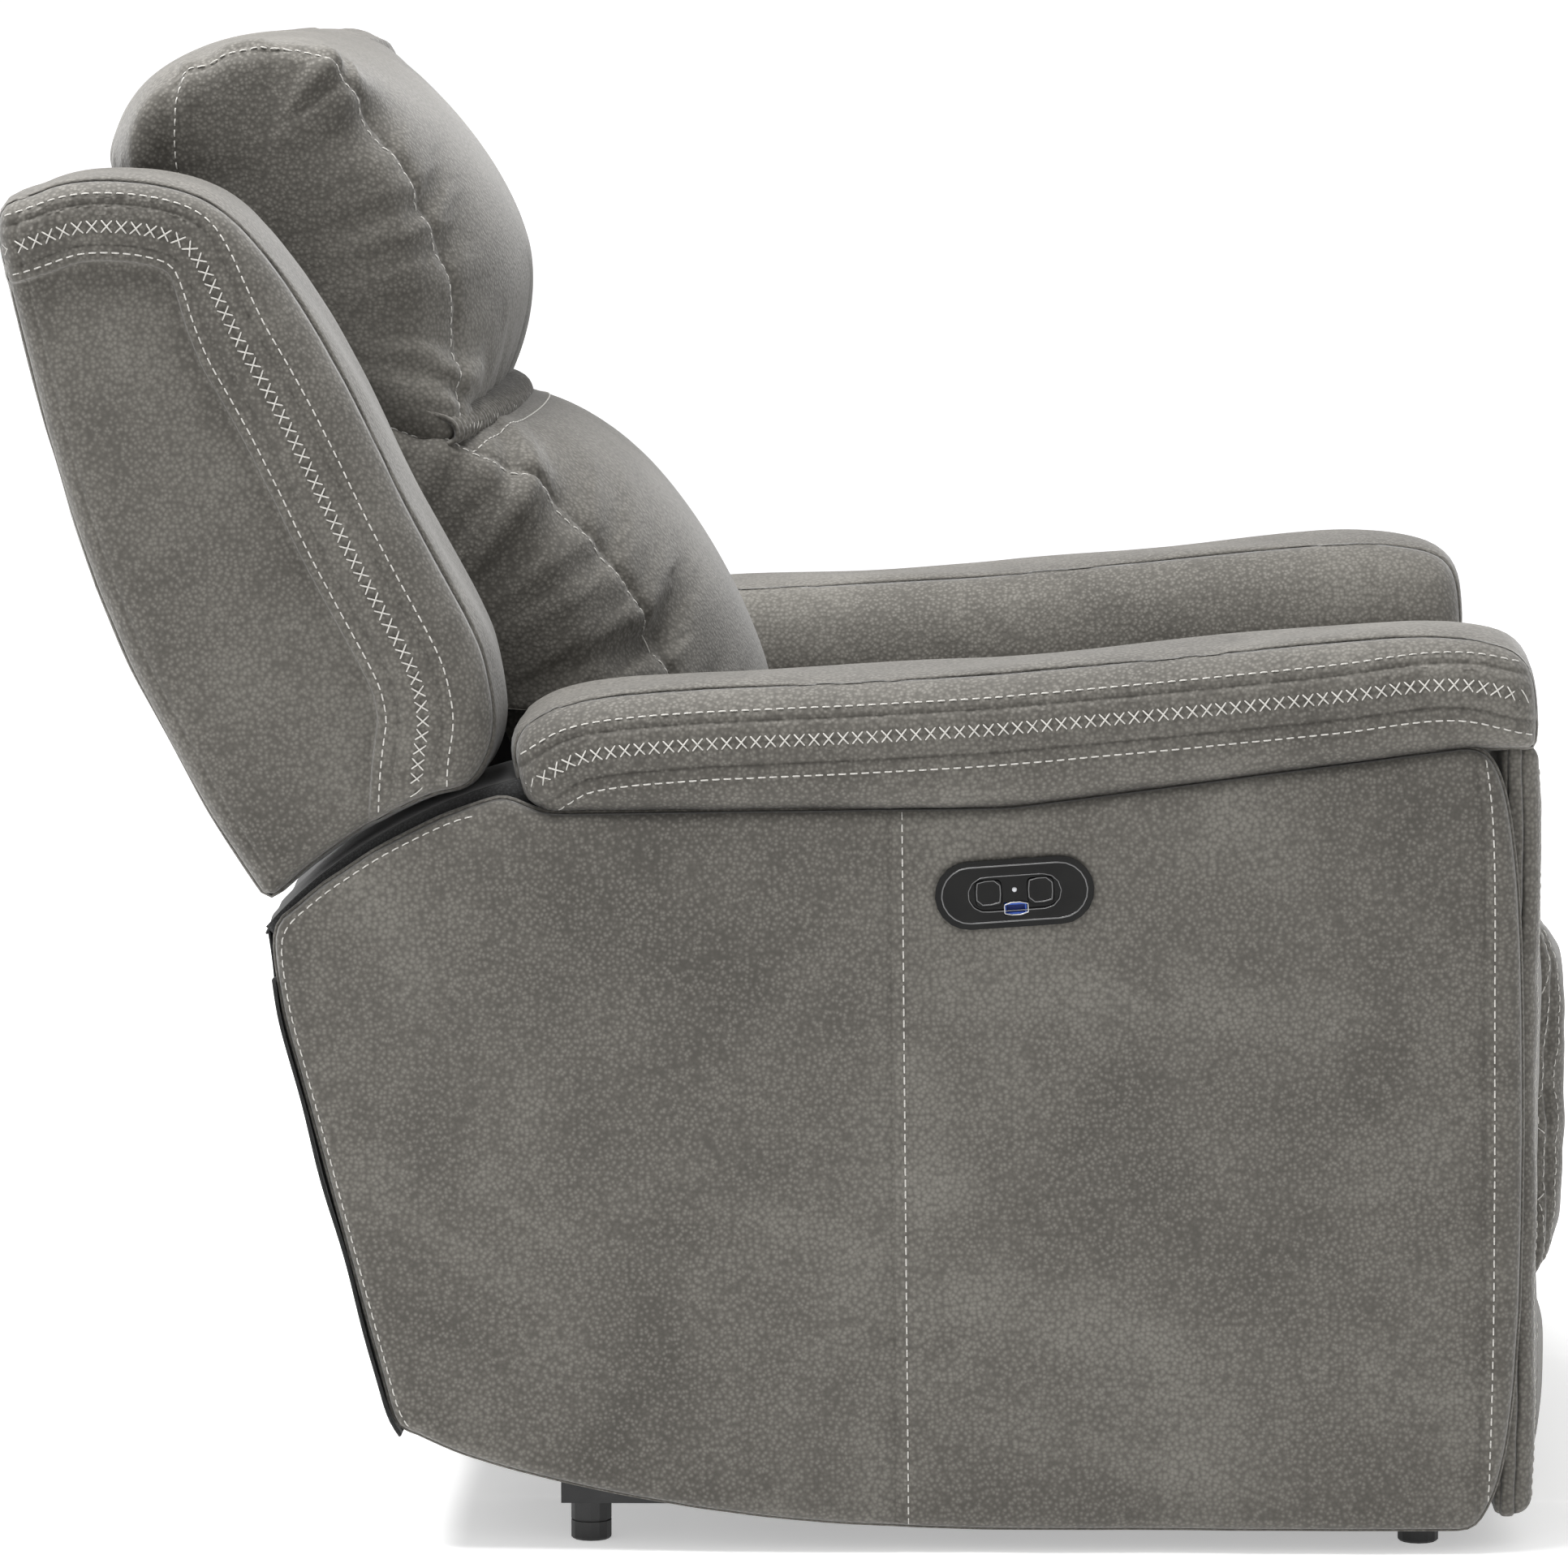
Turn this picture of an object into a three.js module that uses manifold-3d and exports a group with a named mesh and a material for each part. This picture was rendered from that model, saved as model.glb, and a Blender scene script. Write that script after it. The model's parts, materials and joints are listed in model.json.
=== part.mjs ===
// Power recliner armchair: padded arms on upholstered side panels, a winged back that turns on a
// pin in each arm, and a footrest carried by a straight-line linkage. Millimetres, +X front, +Z up,
// +Y the sitter's left. Every separate piece is its own mesh.
import * as THREE from 'three';
import { mergeVertices } from 'three/addons/utils/BufferGeometryUtils.js';
import Module from 'manifold-3d';

const wasm = await Module();
wasm.setup();

// ---------------------------------------------------------------- driving dimensions
const overall_width = 950; // outside of one arm pad to outside of the other
const arm_width = 190; // of each arm, pad and panels together
const arm_front_x = 500; // foremost face of the arms
const arm_height = 625; // crest of the arm pad near its front
const seat_height = 476; // top of the seat cushion near its front
const back_height = 1017; // top of the head cushion
const wing_rear_x = -532; // rearmost point of the wings
const pivot = new THREE.Vector2(-107, 189); // axis on which the back turns
const arm_arc_radius = 340; // rear top edge of the side panels, about the pivot
const wing_gap = 11; // slot between the side panels and the wings
const side_thickness = 22; // padded outer side panel
const arm_overhang = 3; // arm pads and wings stand this far out of the side panels
const inner_thickness = 15; // padded inner side of each arm
const board_thickness = 18; // plywood boards
const rail_section = 32; // square steel tube of the base
const foot_radius = 14;
const foot_height = 27;
const floor_gap = 14; // lower edge of the side panels above the floor
const plate_thickness = 4; // steel plates and links of the mechanism
const link_length = (seat_height - 176) / 2; // half of the long link, and the whole short link
const link_width = 26;
const link_angle_closed = THREE.MathUtils.degToRad(75);
const board_offset = 100; // footrest pivot to the back of the footrest board
const board_setback = 30; // back of the footrest board behind the front of the arms
const link_anchor = new THREE.Vector2( // fixed pivot of the footrest linkage
  arm_front_x - board_setback - board_offset - 2 * link_length * Math.cos(link_angle_closed),
  seat_height - 146,
);
const footrest_height = seat_height - 106; // of the board, stood up
const footrest_pad_depth = 44;
const pin_radius = 6;
const recline_pin_radius = 9;
const cushion_gap = 5; // between the cushions and what is beside them
const fit = 0.5; // between pieces that touch
const running_fit = 0.4; // round a pin that turns

// ---------------------------------------------------------------- places that follow from them
const outer_y = overall_width / 2;
const panel_outer_y = outer_y - arm_overhang;
const panel_inner_y = panel_outer_y - side_thickness;
const arm_inner_y = outer_y - arm_width;
const core_y = arm_inner_y + inner_thickness;
const between_arms = arm_inner_y - cushion_gap; // half the width of every cushion between the arms
const plate_outer_y = arm_inner_y - 1.5;
const plate_inner_y = plate_outer_y - plate_thickness;
const layer_step = plate_thickness + 2; // each link lies 2 mm inside the one before it
const short_link_y = plate_inner_y - layer_step;
const long_link_y = short_link_y - layer_step;
const bracket_y = long_link_y - layer_step;
const wing_arc_radius = arm_arc_radius + wing_gap;
const sides = [['right', -1], ['left', 1]];

// ---------------------------------------------------------------- shape helpers
const v2 = (x, z) => new THREE.Vector2(x, z);
const radians = THREE.MathUtils.degToRad;
const around_pivot = (radius, degrees) => v2(
  pivot.x + radius * Math.cos(radians(degrees)),
  pivot.y + radius * Math.sin(radians(degrees)),
);

// A slab has its outline in the side view and runs across the chair from y_low to y_high.
function slab(outline, y_low, y_high, curve_steps = 3) {
  const options = { depth: y_high - y_low, curveSegments: curve_steps, bevelEnabled: false };
  const geometry = new THREE.ExtrudeGeometry(outline, options);
  geometry.rotateX(Math.PI / 2);
  geometry.translate(0, y_high, 0);
  return geometry;
}

// A padded slab is drawn in by `rounding` all round its two ends, as a stuffed cover is at its
// side seams: each section is the outline scaled about the middle of its box.
function padded_slab(outline, y_low, y_high, rounding, curve_steps = 3) {
  const points = outline.getPoints(curve_steps);
  if (points[0].distanceTo(points[points.length - 1]) < 0.01) points.pop();
  if (THREE.ShapeUtils.isClockWise(points)) points.reverse();
  const extent = new THREE.Box2().setFromPoints(points);
  const middle = extent.getCenter(v2(0, 0));
  const size = extent.getSize(v2(0, 0));
  const ends = [[0, 1], [0.3, 0.35], [1, 0]]; // shares of the rounding: along Y, and drawn in
  const sections = [
    ...ends.map(([along, inward]) => [y_low + along * rounding, inward]),
    ...ends.map(([along, inward]) => [y_high - along * rounding, inward]).reverse(),
  ];
  const count = points.length;
  const vertices = sections.flatMap(([y, inward]) => points.flatMap((point) => [
    middle.x + (point.x - middle.x) * (1 - (2 * inward * rounding) / size.x),
    y,
    middle.y + (point.y - middle.y) * (1 - (2 * inward * rounding) / size.y),
  ]));
  const triangles = [];
  for (let row = 0; row + 1 < sections.length; row += 1) {
    for (let k = 0; k < count; k += 1) {
      const [a, b] = [row * count + k, row * count + ((k + 1) % count)];
      triangles.push(a, b + count, b, a, a + count, b + count);
    }
  }
  const last = (sections.length - 1) * count;
  for (const [a, b, c] of THREE.ShapeUtils.triangulateShape(points, [])) {
    triangles.push(a, b, c, last + a, last + c, last + b);
  }
  const geometry = new THREE.BufferGeometry();
  geometry.setAttribute('position', new THREE.Float32BufferAttribute(vertices, 3));
  geometry.setIndex(triangles);
  geometry.computeVertexNormals();
  return geometry;
}

// The same slabs on one side of the chair, given by their distances from the middle.
const side_range = (side, y_inner, y_outer) => (side > 0 ? [y_inner, y_outer] : [-y_outer, -y_inner]);
const side_slab = (side, outline, y_inner, y_outer, curve_steps = 3) => (
  slab(outline, ...side_range(side, y_inner, y_outer), curve_steps)
);
const side_pad = (side, outline, y_inner, y_outer, rounding, curve_steps = 3) => (
  padded_slab(outline, ...side_range(side, y_inner, y_outer), rounding, curve_steps)
);

function box(x_low, x_high, y_low, y_high, z_low, z_high) {
  const geometry = new THREE.BoxGeometry(x_high - x_low, y_high - y_low, z_high - z_low);
  geometry.translate((x_low + x_high) / 2, (y_low + y_high) / 2, (z_low + z_high) / 2);
  return geometry;
}

// A round bar across the chair, centred on a point of the side view.
function cross_bar(centre, radius, y_low, y_high, segments = 16) {
  const geometry = new THREE.CylinderGeometry(radius, radius, y_high - y_low, segments);
  geometry.translate(centre.x, (y_low + y_high) / 2, centre.y);
  return geometry;
}

function polygon(points) {
  return new THREE.Shape(points);
}

// A bar with round ends from a to b.
function capsule(a, b, radius) {
  const angle = Math.atan2(b.y - a.y, b.x - a.x);
  const shape = new THREE.Shape();
  shape.absarc(b.x, b.y, radius, angle - Math.PI / 2, angle + Math.PI / 2, false);
  shape.absarc(a.x, a.y, radius, angle + Math.PI / 2, angle + Math.PI * 1.5, false);
  shape.closePath();
  return shape;
}

function disc(centre, radius) {
  const shape = new THREE.Shape();
  shape.absarc(centre.x, centre.y, radius, 0, Math.PI * 2, false);
  return shape;
}

function round_hole(shape, centre, radius) {
  const hole = new THREE.Path();
  hole.absarc(centre.x, centre.y, radius, 0, Math.PI * 2, true);
  shape.holes.push(hole);
}

function to_solid(geometry) {
  const plain = geometry.clone();
  plain.deleteAttribute('normal');
  plain.deleteAttribute('uv');
  const merged = mergeVertices(plain, 1e-4);
  return new wasm.Manifold(new wasm.Mesh({
    numProp: 3,
    vertProperties: new Float32Array(merged.attributes.position.array),
    triVerts: new Uint32Array(merged.index.array),
  }));
}

function to_geometry(solid) {
  const mesh = solid.getMesh();
  const geometry = new THREE.BufferGeometry();
  geometry.setAttribute('position', new THREE.BufferAttribute(new Float32Array(mesh.vertProperties), 3));
  geometry.setIndex(new THREE.BufferAttribute(new Uint32Array(mesh.triVerts), 1));
  geometry.computeVertexNormals();
  return geometry;
}

const joined = (...pieces) => to_geometry(pieces.map(to_solid).reduce((a, b) => a.add(b)));
const cut = (piece, ...tools) => to_geometry(tools.map(to_solid).reduce((a, b) => a.subtract(b), to_solid(piece)));

// ---------------------------------------------------------------- materials and the group
const finish = (color, roughness, metalness = 0) => ({ color, roughness, metalness });
const leather = finish(0x6e6c66, 0.72);
const black_steel = finish(0x17181a, 0.45, 0.8);
const bright_steel = finish(0x9a9c9f, 0.35, 0.9);
const plywood = finish(0xb9905f, 0.8);
const black_plastic = finish(0x1b1b1c, 0.55);
const gloss_black = finish(0x08080a, 0.12);
const usb_blue = finish(0x1f4fae, 0.5);
const black_cloth = finish(0x151516, 0.95);

const group = new THREE.Group();

function add(name, geometry, look) {
  const mesh = new THREE.Mesh(geometry, new THREE.MeshStandardMaterial(look));
  mesh.name = name;
  group.add(mesh);
}

// ---------------------------------------------------------------- arms
// The lower edge of the arm pads is a shallow parabola with its low point towards the rear.
const pad_low_x = -54;
const pad_low_z = arm_height - 122;
const pad_rise = 0.00019;
const pad_bottom = (x) => pad_low_z + pad_rise * (x - pad_low_x) ** 2;
function along_pad_bottom(shape, x_from, x_to, below) {
  const control_z = pad_low_z + pad_rise * (x_from - pad_low_x) * (x_to - pad_low_x);
  shape.quadraticCurveTo((x_from + x_to) / 2, control_z - below, x_to, pad_bottom(x_to) - below);
}

const pad_rear_x = pivot.x - 88;
const pad_front_x = arm_front_x - 1;
const roll_x = arm_front_x - 46; // where the rolled front edge of a side panel starts

function arm_pad_outline() {
  const shape = new THREE.Shape();
  shape.moveTo(pad_rear_x + 22, pad_bottom(pad_rear_x) + 1);
  along_pad_bottom(shape, pad_rear_x + 22, roll_x, 0);
  shape.lineTo(pad_front_x, pad_bottom(roll_x));
  shape.splineThru([
    v2(pad_front_x - 2, arm_height - 37),
    v2(pad_front_x - 8, arm_height - 18),
    v2(pad_front_x - 26, arm_height - 6),
    v2(pad_front_x - 75, arm_height),
    v2(pad_front_x - 150, arm_height - 5),
    v2(pad_front_x - 380, arm_height - 27),
    v2(pad_rear_x + 115, arm_height - 37),
    v2(pad_rear_x + 40, arm_height - 46),
    v2(pad_rear_x + 8, arm_height - 62),
    v2(pad_rear_x, arm_height - 80),
    v2(pad_rear_x + 5, arm_height - 104),
  ]);
  shape.closePath();
  return shape;
}

const panel_rear_foot = v2(pivot.x - 163, 86);
const arc_start = 105.5; // degrees about the pivot
const arc_end = 135.5;

// The rear edge of a side panel, from the top of its arc down to its lower rear corner.
function rear_edge(shape) {
  const top = around_pivot(arm_arc_radius, arc_end);
  shape.splineThru([v2(top.x - 1, top.y - 16), v2(top.x + 5, top.y - 58)]);
  shape.lineTo(panel_rear_foot.x, panel_rear_foot.y);
}

function side_panel_outline() {
  const shape = new THREE.Shape();
  shape.moveTo(panel_rear_foot.x + 8, panel_rear_foot.y - 6);
  shape.splineThru([v2(-215, floor_gap + 46), v2(-120, floor_gap + 23), v2(0, floor_gap + 6), v2(120, floor_gap)]);
  shape.lineTo(arm_front_x - 42, floor_gap);
  shape.splineThru([
    v2(arm_front_x - 24, floor_gap + 38),
    v2(arm_front_x - 13, floor_gap + 130),
    v2(arm_front_x - 11, floor_gap + 270),
    v2(arm_front_x - 14, arm_height - 200),
    v2(arm_front_x - 22, arm_height - 121),
    v2(arm_front_x - 33, pad_bottom(roll_x) - 12),
    v2(roll_x, pad_bottom(roll_x) - 2 * fit),
  ]);
  const arc_top = around_pivot(arm_arc_radius, arc_start);
  const rear_x = arc_top.x + 24;
  along_pad_bottom(shape, roll_x, rear_x, 2 * fit);
  shape.lineTo(arc_top.x, arc_top.y);
  shape.absarc(pivot.x, pivot.y, arm_arc_radius, radians(arc_start), radians(arc_end), false);
  rear_edge(shape);
  shape.closePath();
  return shape;
}

// The control panel lies in a pill-shaped cut in the right side panel.
const control_centre = v2(145, arm_height - 174);
const control_tilt = radians(4);
const control_length = 107;
const control_height = 46;
const control_depth = 16;
const pocket_depth = 3;

function pill(length, height, centre_x = 0, centre_z = 0) {
  const half = (length - height) / 2;
  const shape = capsule(v2(-half, 0), v2(half, 0), height / 2);
  return { shape, centre_x, centre_z };
}

// A prism along Y with its outline given about the middle of the control panel.
function control_prism({ shape, centre_x, centre_z }, y_low, y_high, curve_steps = 5) {
  const geometry = slab(shape, y_low, y_high, curve_steps);
  geometry.translate(centre_x, 0, centre_z);
  geometry.rotateY(-control_tilt);
  geometry.translate(control_centre.x, 0, control_centre.y);
  return geometry;
}

const inner_board_low_z = 62;
const arm_rail_top_z = pad_low_z - 6;
const front_pad_thickness = 26;
const front_face_x = arm_front_x - 2;

for (const [side_name, side] of sides) {
  const face = slab_of_side_panel(side);
  add(`side_panel_${side_name}`, face, leather);
  add(`arm_pad_${side_name}`, side_pad(side, arm_pad_outline(), arm_inner_y, outer_y, 14, 2), leather);
  const front_top_z = pad_bottom(roll_x) - 2 * fit;
  const front_rear_x = front_face_x - front_pad_thickness;
  const front_outline = polygon([
    v2(front_rear_x, floor_gap + 6),
    v2(front_face_x - 6, floor_gap + 6),
    v2(front_face_x, floor_gap + 60),
    v2(front_face_x, front_top_z),
    v2(front_rear_x, front_top_z),
  ]);
  add(`arm_front_${side_name}`, side_pad(side, front_outline, arm_inner_y, panel_inner_y - fit, 4), leather);
  const inner_rear_x = pivot.x - 88;
  const inner_outline = polygon([
    v2(inner_rear_x, inner_board_low_z),
    v2(front_rear_x - fit, inner_board_low_z),
    v2(front_rear_x - fit, arm_rail_top_z + 4),
    v2(inner_rear_x + 12, arm_rail_top_z + 4),
    v2(inner_rear_x, arm_rail_top_z - 18),
  ]);
  add(`arm_inner_${side_name}`, side_pad(side, inner_outline, arm_inner_y, core_y, 3), leather);
  const rail_outline = polygon([
    v2(inner_rear_x + 8, arm_rail_top_z - board_thickness),
    v2(front_rear_x - fit, arm_rail_top_z - board_thickness),
    v2(front_rear_x - fit, arm_rail_top_z),
    v2(inner_rear_x + 8, arm_rail_top_z),
  ]);
  add(`arm_rail_${side_name}`, side_slab(side, rail_outline, core_y + fit, panel_inner_y - fit), plywood);
}

function slab_of_side_panel(side) {
  const panel = side_pad(side, side_panel_outline(), panel_inner_y, panel_outer_y, 6, 2);
  if (side > 0) return panel;
  const opening = pill(control_length + 2 * fit, control_height + 2 * fit);
  return cut(panel, control_prism(opening, -outer_y - 5, -panel_inner_y + 5));
}

// ---------------------------------------------------------------- control panel
const control_face_y = -(outer_y - 0.5);
const button_size = 17;
const button_spacing = 35;
const button_z = 0.5;
const usb_width = 14.6;
const usb_height = 7.2;
const usb_depth = 13;
const usb_wall = 0.9;
const usb_z = -10.5;

function rounded_square(size, corner, centre_x, centre_z) {
  const h = size / 2;
  const k = h - corner;
  const shape = new THREE.Shape();
  shape.absarc(k, k, corner, 0, Math.PI / 2, false);
  shape.absarc(-k, k, corner, Math.PI / 2, Math.PI, false);
  shape.absarc(-k, -k, corner, Math.PI, Math.PI * 1.5, false);
  shape.absarc(k, -k, corner, Math.PI * 1.5, Math.PI * 2, false);
  shape.closePath();
  return { shape, centre_x, centre_z };
}

function rectangle(width, height, centre_x, centre_z) {
  const [w, h] = [width / 2, height / 2];
  return { shape: polygon([v2(-w, -h), v2(w, -h), v2(w, h), v2(-w, h)]), centre_x, centre_z };
}

const button_top_y = control_face_y + 0.6; // buttons stop just inside the bezel's face
const button_bottom_y = button_top_y + 9;
const bezel_back_y = control_face_y + control_depth;
const bezel = cut(
  control_prism(pill(control_length, control_height), control_face_y, bezel_back_y),
  control_prism(pill(62, 23, 0, button_z), control_face_y - 1, control_face_y + pocket_depth),
  control_prism(rounded_square(button_size + 1, 3.5, -button_spacing / 2, button_z), control_face_y, bezel_back_y + 1, 2),
  control_prism(rounded_square(button_size + 1, 3.5, button_spacing / 2, button_z), control_face_y, bezel_back_y + 1, 2),
  control_prism(rectangle(usb_width + 1, usb_height + 1, 0, usb_z), control_face_y - 1, bezel_back_y + 1),
);
add('control_bezel', bezel, gloss_black);
for (const [button_name, side] of [['button_close', -1], ['button_open', 1]]) {
  const cap = rounded_square(button_size, 3, (side * button_spacing) / 2, button_z);
  add(button_name, control_prism(cap, button_top_y, button_bottom_y, 2), gloss_black);
}
const usb_front_y = control_face_y + 0.4;
const usb_shell = cut(
  control_prism(rectangle(usb_width, usb_height, 0, usb_z), usb_front_y, usb_front_y + usb_depth),
  control_prism(
    rectangle(usb_width - 2 * usb_wall, usb_height - 2 * usb_wall, 0, usb_z),
    usb_front_y - 1,
    usb_front_y + usb_depth - 2,
  ),
);
add('usb_socket', usb_shell, usb_blue);

// ---------------------------------------------------------------- base: rear panel, rails, feet
const recline_slot_z = 236; // the rear panel is slotted down to here for the back's hinge plates
const rear_board_thickness = 16;
const inlet_z = 150; // the power inlet sits in a square cut in the middle of the rear panel
const inlet_half_y = 14;
const inlet_half_z = 12;
const inlet_depth = 34;
const inlet_bore_radius = 4;
const inlet_bore_depth = 12;
function rear_panel() {
  const top = around_pivot(arm_arc_radius - 4, arc_end + 1.5);
  const shape = polygon([
    v2(panel_rear_foot.x + 3, panel_rear_foot.y + 4),
    v2(panel_rear_foot.x + 3 + rear_board_thickness, panel_rear_foot.y + 4),
    v2(top.x + 7 + rear_board_thickness, top.y - 58),
    v2(top.x + rear_board_thickness + 1, top.y - 8),
    v2(top.x + 5, top.y - 4),
    v2(top.x, top.y - 14),
    v2(top.x + 7, top.y - 58),
  ]);
  const board = slab(shape, -panel_inner_y + fit, panel_inner_y - fit);
  const slots = sides.map(([, side]) => {
    const middle = side * (short_link_y + plate_thickness / 2);
    return box(-500, 0, middle - layer_step, middle + layer_step, recline_slot_z, 600);
  });
  const inlet_cut = box(-500, 0, -inlet_half_y - fit, inlet_half_y + fit,
    inlet_z - inlet_half_z - fit, inlet_z + inlet_half_z + fit);
  return cut(board, ...slots, inlet_cut);
}
add('rear_panel', rear_panel(), black_cloth);

const rail_y = outer_y - 55;
const rail_low_z = foot_height;
const rear_rail_x = -142;
const front_rail_x = arm_front_x - 60;
for (const [side_name, side] of sides) {
  const [y_low, y_high] = [side * rail_y - rail_section / 2, side * rail_y + rail_section / 2];
  add(
    `base_rail_${side_name}`,
    box(rear_rail_x - 20, front_rail_x + 16, y_low, y_high, rail_low_z, rail_low_z + rail_section),
    black_steel,
  );
}
const cross_rail_half = rail_y - rail_section / 2 - fit;
const cross_rails = [['base_rail_rear', rear_rail_x + 16], ['base_rail_front', link_anchor.x - 70]];
for (const [rail_name, x] of cross_rails) {
  add(
    rail_name,
    box(x - 16, x + 16, -cross_rail_half, cross_rail_half, rail_low_z, rail_low_z + rail_section),
    black_steel,
  );
}
const glide_height = 13;
for (const [side_name, side] of sides) {
  for (const [end_name, x] of [['rear', rear_rail_x], ['front', front_rail_x - 18]]) {
    const profile = [
      v2(0, 0),
      v2(foot_radius - 1.5, 0),
      v2(foot_radius, 1.5),
      v2(foot_radius, glide_height),
      v2(foot_radius - 1, glide_height + 0.4),
      v2(foot_radius - 1, glide_height + 1),
      v2(foot_radius, glide_height + 1.4),
      v2(foot_radius, foot_height - fit),
      v2(0, foot_height - fit),
    ];
    const foot = new THREE.LatheGeometry(profile, 14);
    foot.rotateX(Math.PI / 2);
    foot.translate(x, side * rail_y, 0);
    add(`foot_${end_name}_${side_name}`, foot, black_plastic);
  }
}

// ---------------------------------------------------------------- mechanism plates
const slot_top_z = link_anchor.y - 2 * link_length * Math.sin(radians(15)) + 14;
const slot_low_z = link_anchor.y - 2 * link_length * Math.sin(link_angle_closed) - 9;
const slot_half = pin_radius + running_fit;
function mechanism_plate(side) {
  const [px, pz] = [pivot.x, pivot.y];
  const [ax, az] = [link_anchor.x, link_anchor.y];
  const outline = polygon([
    v2(px - 34, pz - 40),
    v2(px + 20, rail_low_z + rail_section + 8),
    v2(ax - 40, rail_low_z + rail_section + 8),
    v2(ax - 26, slot_low_z - 12),
    v2(ax + 26, slot_low_z - 12),
    v2(ax + 26, az + 18),
    v2(ax + 10, az + 44),
    v2(px + 60, az + 44),
    v2(px + 18, pz + 44),
    v2(px - 26, pz + 34),
  ]);
  const guide = new THREE.Path();
  guide.absarc(ax, slot_top_z - slot_half, slot_half, 0, Math.PI, false);
  guide.absarc(ax, slot_low_z + slot_half, slot_half, Math.PI, Math.PI * 2, false);
  guide.closePath();
  outline.holes.push(guide);
  const plate = side_slab(side, outline, plate_inner_y, plate_outer_y);
  const stud_low = side > 0 ? short_link_y - 1 : -plate_outer_y + 1;
  const stud = cross_bar(link_anchor, pin_radius, stud_low, stud_low + plate_outer_y - short_link_y);
  return joined(plate, stud);
}
for (const [side_name, side] of sides) {
  add(`mechanism_plate_${side_name}`, mechanism_plate(side), black_steel);
}

// ---------------------------------------------------------------- seat
const seat_rail_top_z = seat_height - 96;
const seat_rail_half = plate_inner_y - fit;
const seat_rail_height = 25;
const front_seat_rail_x = front_rail_x - 20;
const rear_seat_rail_x = pivot.x + 66;
add(
  'seat_rail_front',
  box(front_seat_rail_x - 20, front_seat_rail_x + 20, -seat_rail_half, seat_rail_half,
    seat_rail_top_z - seat_rail_height, seat_rail_top_z),
  plywood,
);
add(
  'seat_rail_rear',
  box(rear_seat_rail_x - 12, rear_seat_rail_x + 12, -seat_rail_half, seat_rail_half,
    seat_rail_top_z - 2 * seat_rail_height, seat_rail_top_z),
  plywood,
);
const wire_radius = 1.9;
const spring_z = seat_rail_top_z + fit + wire_radius;
const spring_count = 3;
const spring_spacing = 170;
for (let i = 0; i < spring_count; i += 1) {
  const middle = (i - (spring_count - 1) / 2) * spring_spacing;
  const length = front_seat_rail_x - rear_seat_rail_x;
  const waves = 7;
  const steps = 42;
  const points = [];
  for (let k = 0; k <= steps; k += 1) {
    const share = k / steps;
    const sway = 24 * Math.sin(share * waves * 2 * Math.PI);
    points.push(new THREE.Vector3(rear_seat_rail_x + share * length, middle + sway, spring_z));
  }
  const wire = new THREE.Shape();
  wire.absarc(0, 0, wire_radius, 0, Math.PI * 2, false);
  const path = new THREE.CatmullRomCurve3(points);
  const options = { steps, curveSegments: 3, bevelEnabled: false, extrudePath: path };
  add(`seat_spring_${i + 1}`, new THREE.ExtrudeGeometry(wire, options), bright_steel);
}

const cushion_low_z = spring_z + wire_radius + fit;
const seat_front_x = arm_front_x - 19;
function seat_cushion() {
  const shape = new THREE.Shape();
  const rear = pivot.x - 20;
  shape.moveTo(rear, cushion_low_z);
  shape.lineTo(seat_front_x - 26, cushion_low_z);
  shape.splineThru([
    v2(seat_front_x - 19, seat_height - 52),
    v2(seat_front_x - 5, seat_height - 34),
    v2(seat_front_x, seat_height - 22),
    v2(seat_front_x - 10, seat_height - 8),
    v2(seat_front_x - 40, seat_height),
    v2(seat_front_x - 200, seat_height - 3),
    v2(pivot.x + 80, seat_height - 9),
    v2(rear + 10, seat_height - 14),
  ]);
  shape.closePath();
  return padded_slab(shape, -between_arms, between_arms, 10);
}
add('seat_cushion', seat_cushion(), leather);

// ---------------------------------------------------------------- actuator
const nut_z = 125;
const nut_x = 147;
add('motor_housing', joined(
  box(-78, 22, 14, 74, nut_z - 34, nut_z + 34),
  box(-50, 40, -22, 22, nut_z - 22, nut_z + 22),
), black_plastic);
add('actuator_rail', box(40 + fit, 262, -11, 11, nut_z - 9, nut_z + 9), bright_steel);
const nut_half = 17;
add('actuator_nut', cut(
  box(nut_x - 20, nut_x + 20, -nut_half, nut_half, nut_z - 16, nut_z + 34),
  box(nut_x - 30, nut_x + 30, -11 - running_fit, 11 + running_fit, nut_z - 9 - running_fit, nut_z + 9 + running_fit),
), black_steel);

// ---------------------------------------------------------------- footrest linkage
const direction = (angle) => v2(Math.cos(angle), Math.sin(angle));
const knee = link_anchor.clone().addScaledVector(direction(-link_angle_closed), link_length);
const footrest_pivot = knee.clone().addScaledVector(direction(link_angle_closed), link_length);
const guide_end = knee.clone().addScaledVector(direction(link_angle_closed), -link_length);

const stud_bar = (side, centre, y_inner, y_outer, radius = pin_radius) => (
  side > 0 ? cross_bar(centre, radius, y_inner, y_outer) : cross_bar(centre, radius, -y_outer, -y_inner)
);

for (const [side_name, side] of sides) {
  const short_link = capsule(link_anchor, knee, link_width / 2);
  round_hole(short_link, link_anchor, pin_radius + running_fit);
  add(`short_link_${side_name}`, joined(
    side_slab(side, short_link, short_link_y, short_link_y + plate_thickness, 6),
    stud_bar(side, knee, long_link_y - 1, short_link_y + plate_thickness),
  ), black_steel);

  const long_link = capsule(guide_end, footrest_pivot, link_width / 2);
  round_hole(long_link, knee, pin_radius + running_fit);
  round_hole(long_link, footrest_pivot, pin_radius + running_fit);
  add(`long_link_${side_name}`, joined(
    side_slab(side, long_link, long_link_y, long_link_y + plate_thickness, 6),
    stud_bar(side, guide_end, long_link_y, plate_outer_y),
  ), black_steel);
}
const tube_centre = link_anchor.clone().addScaledVector(direction(-link_angle_closed), 55);
const tube_radius = 11;
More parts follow.
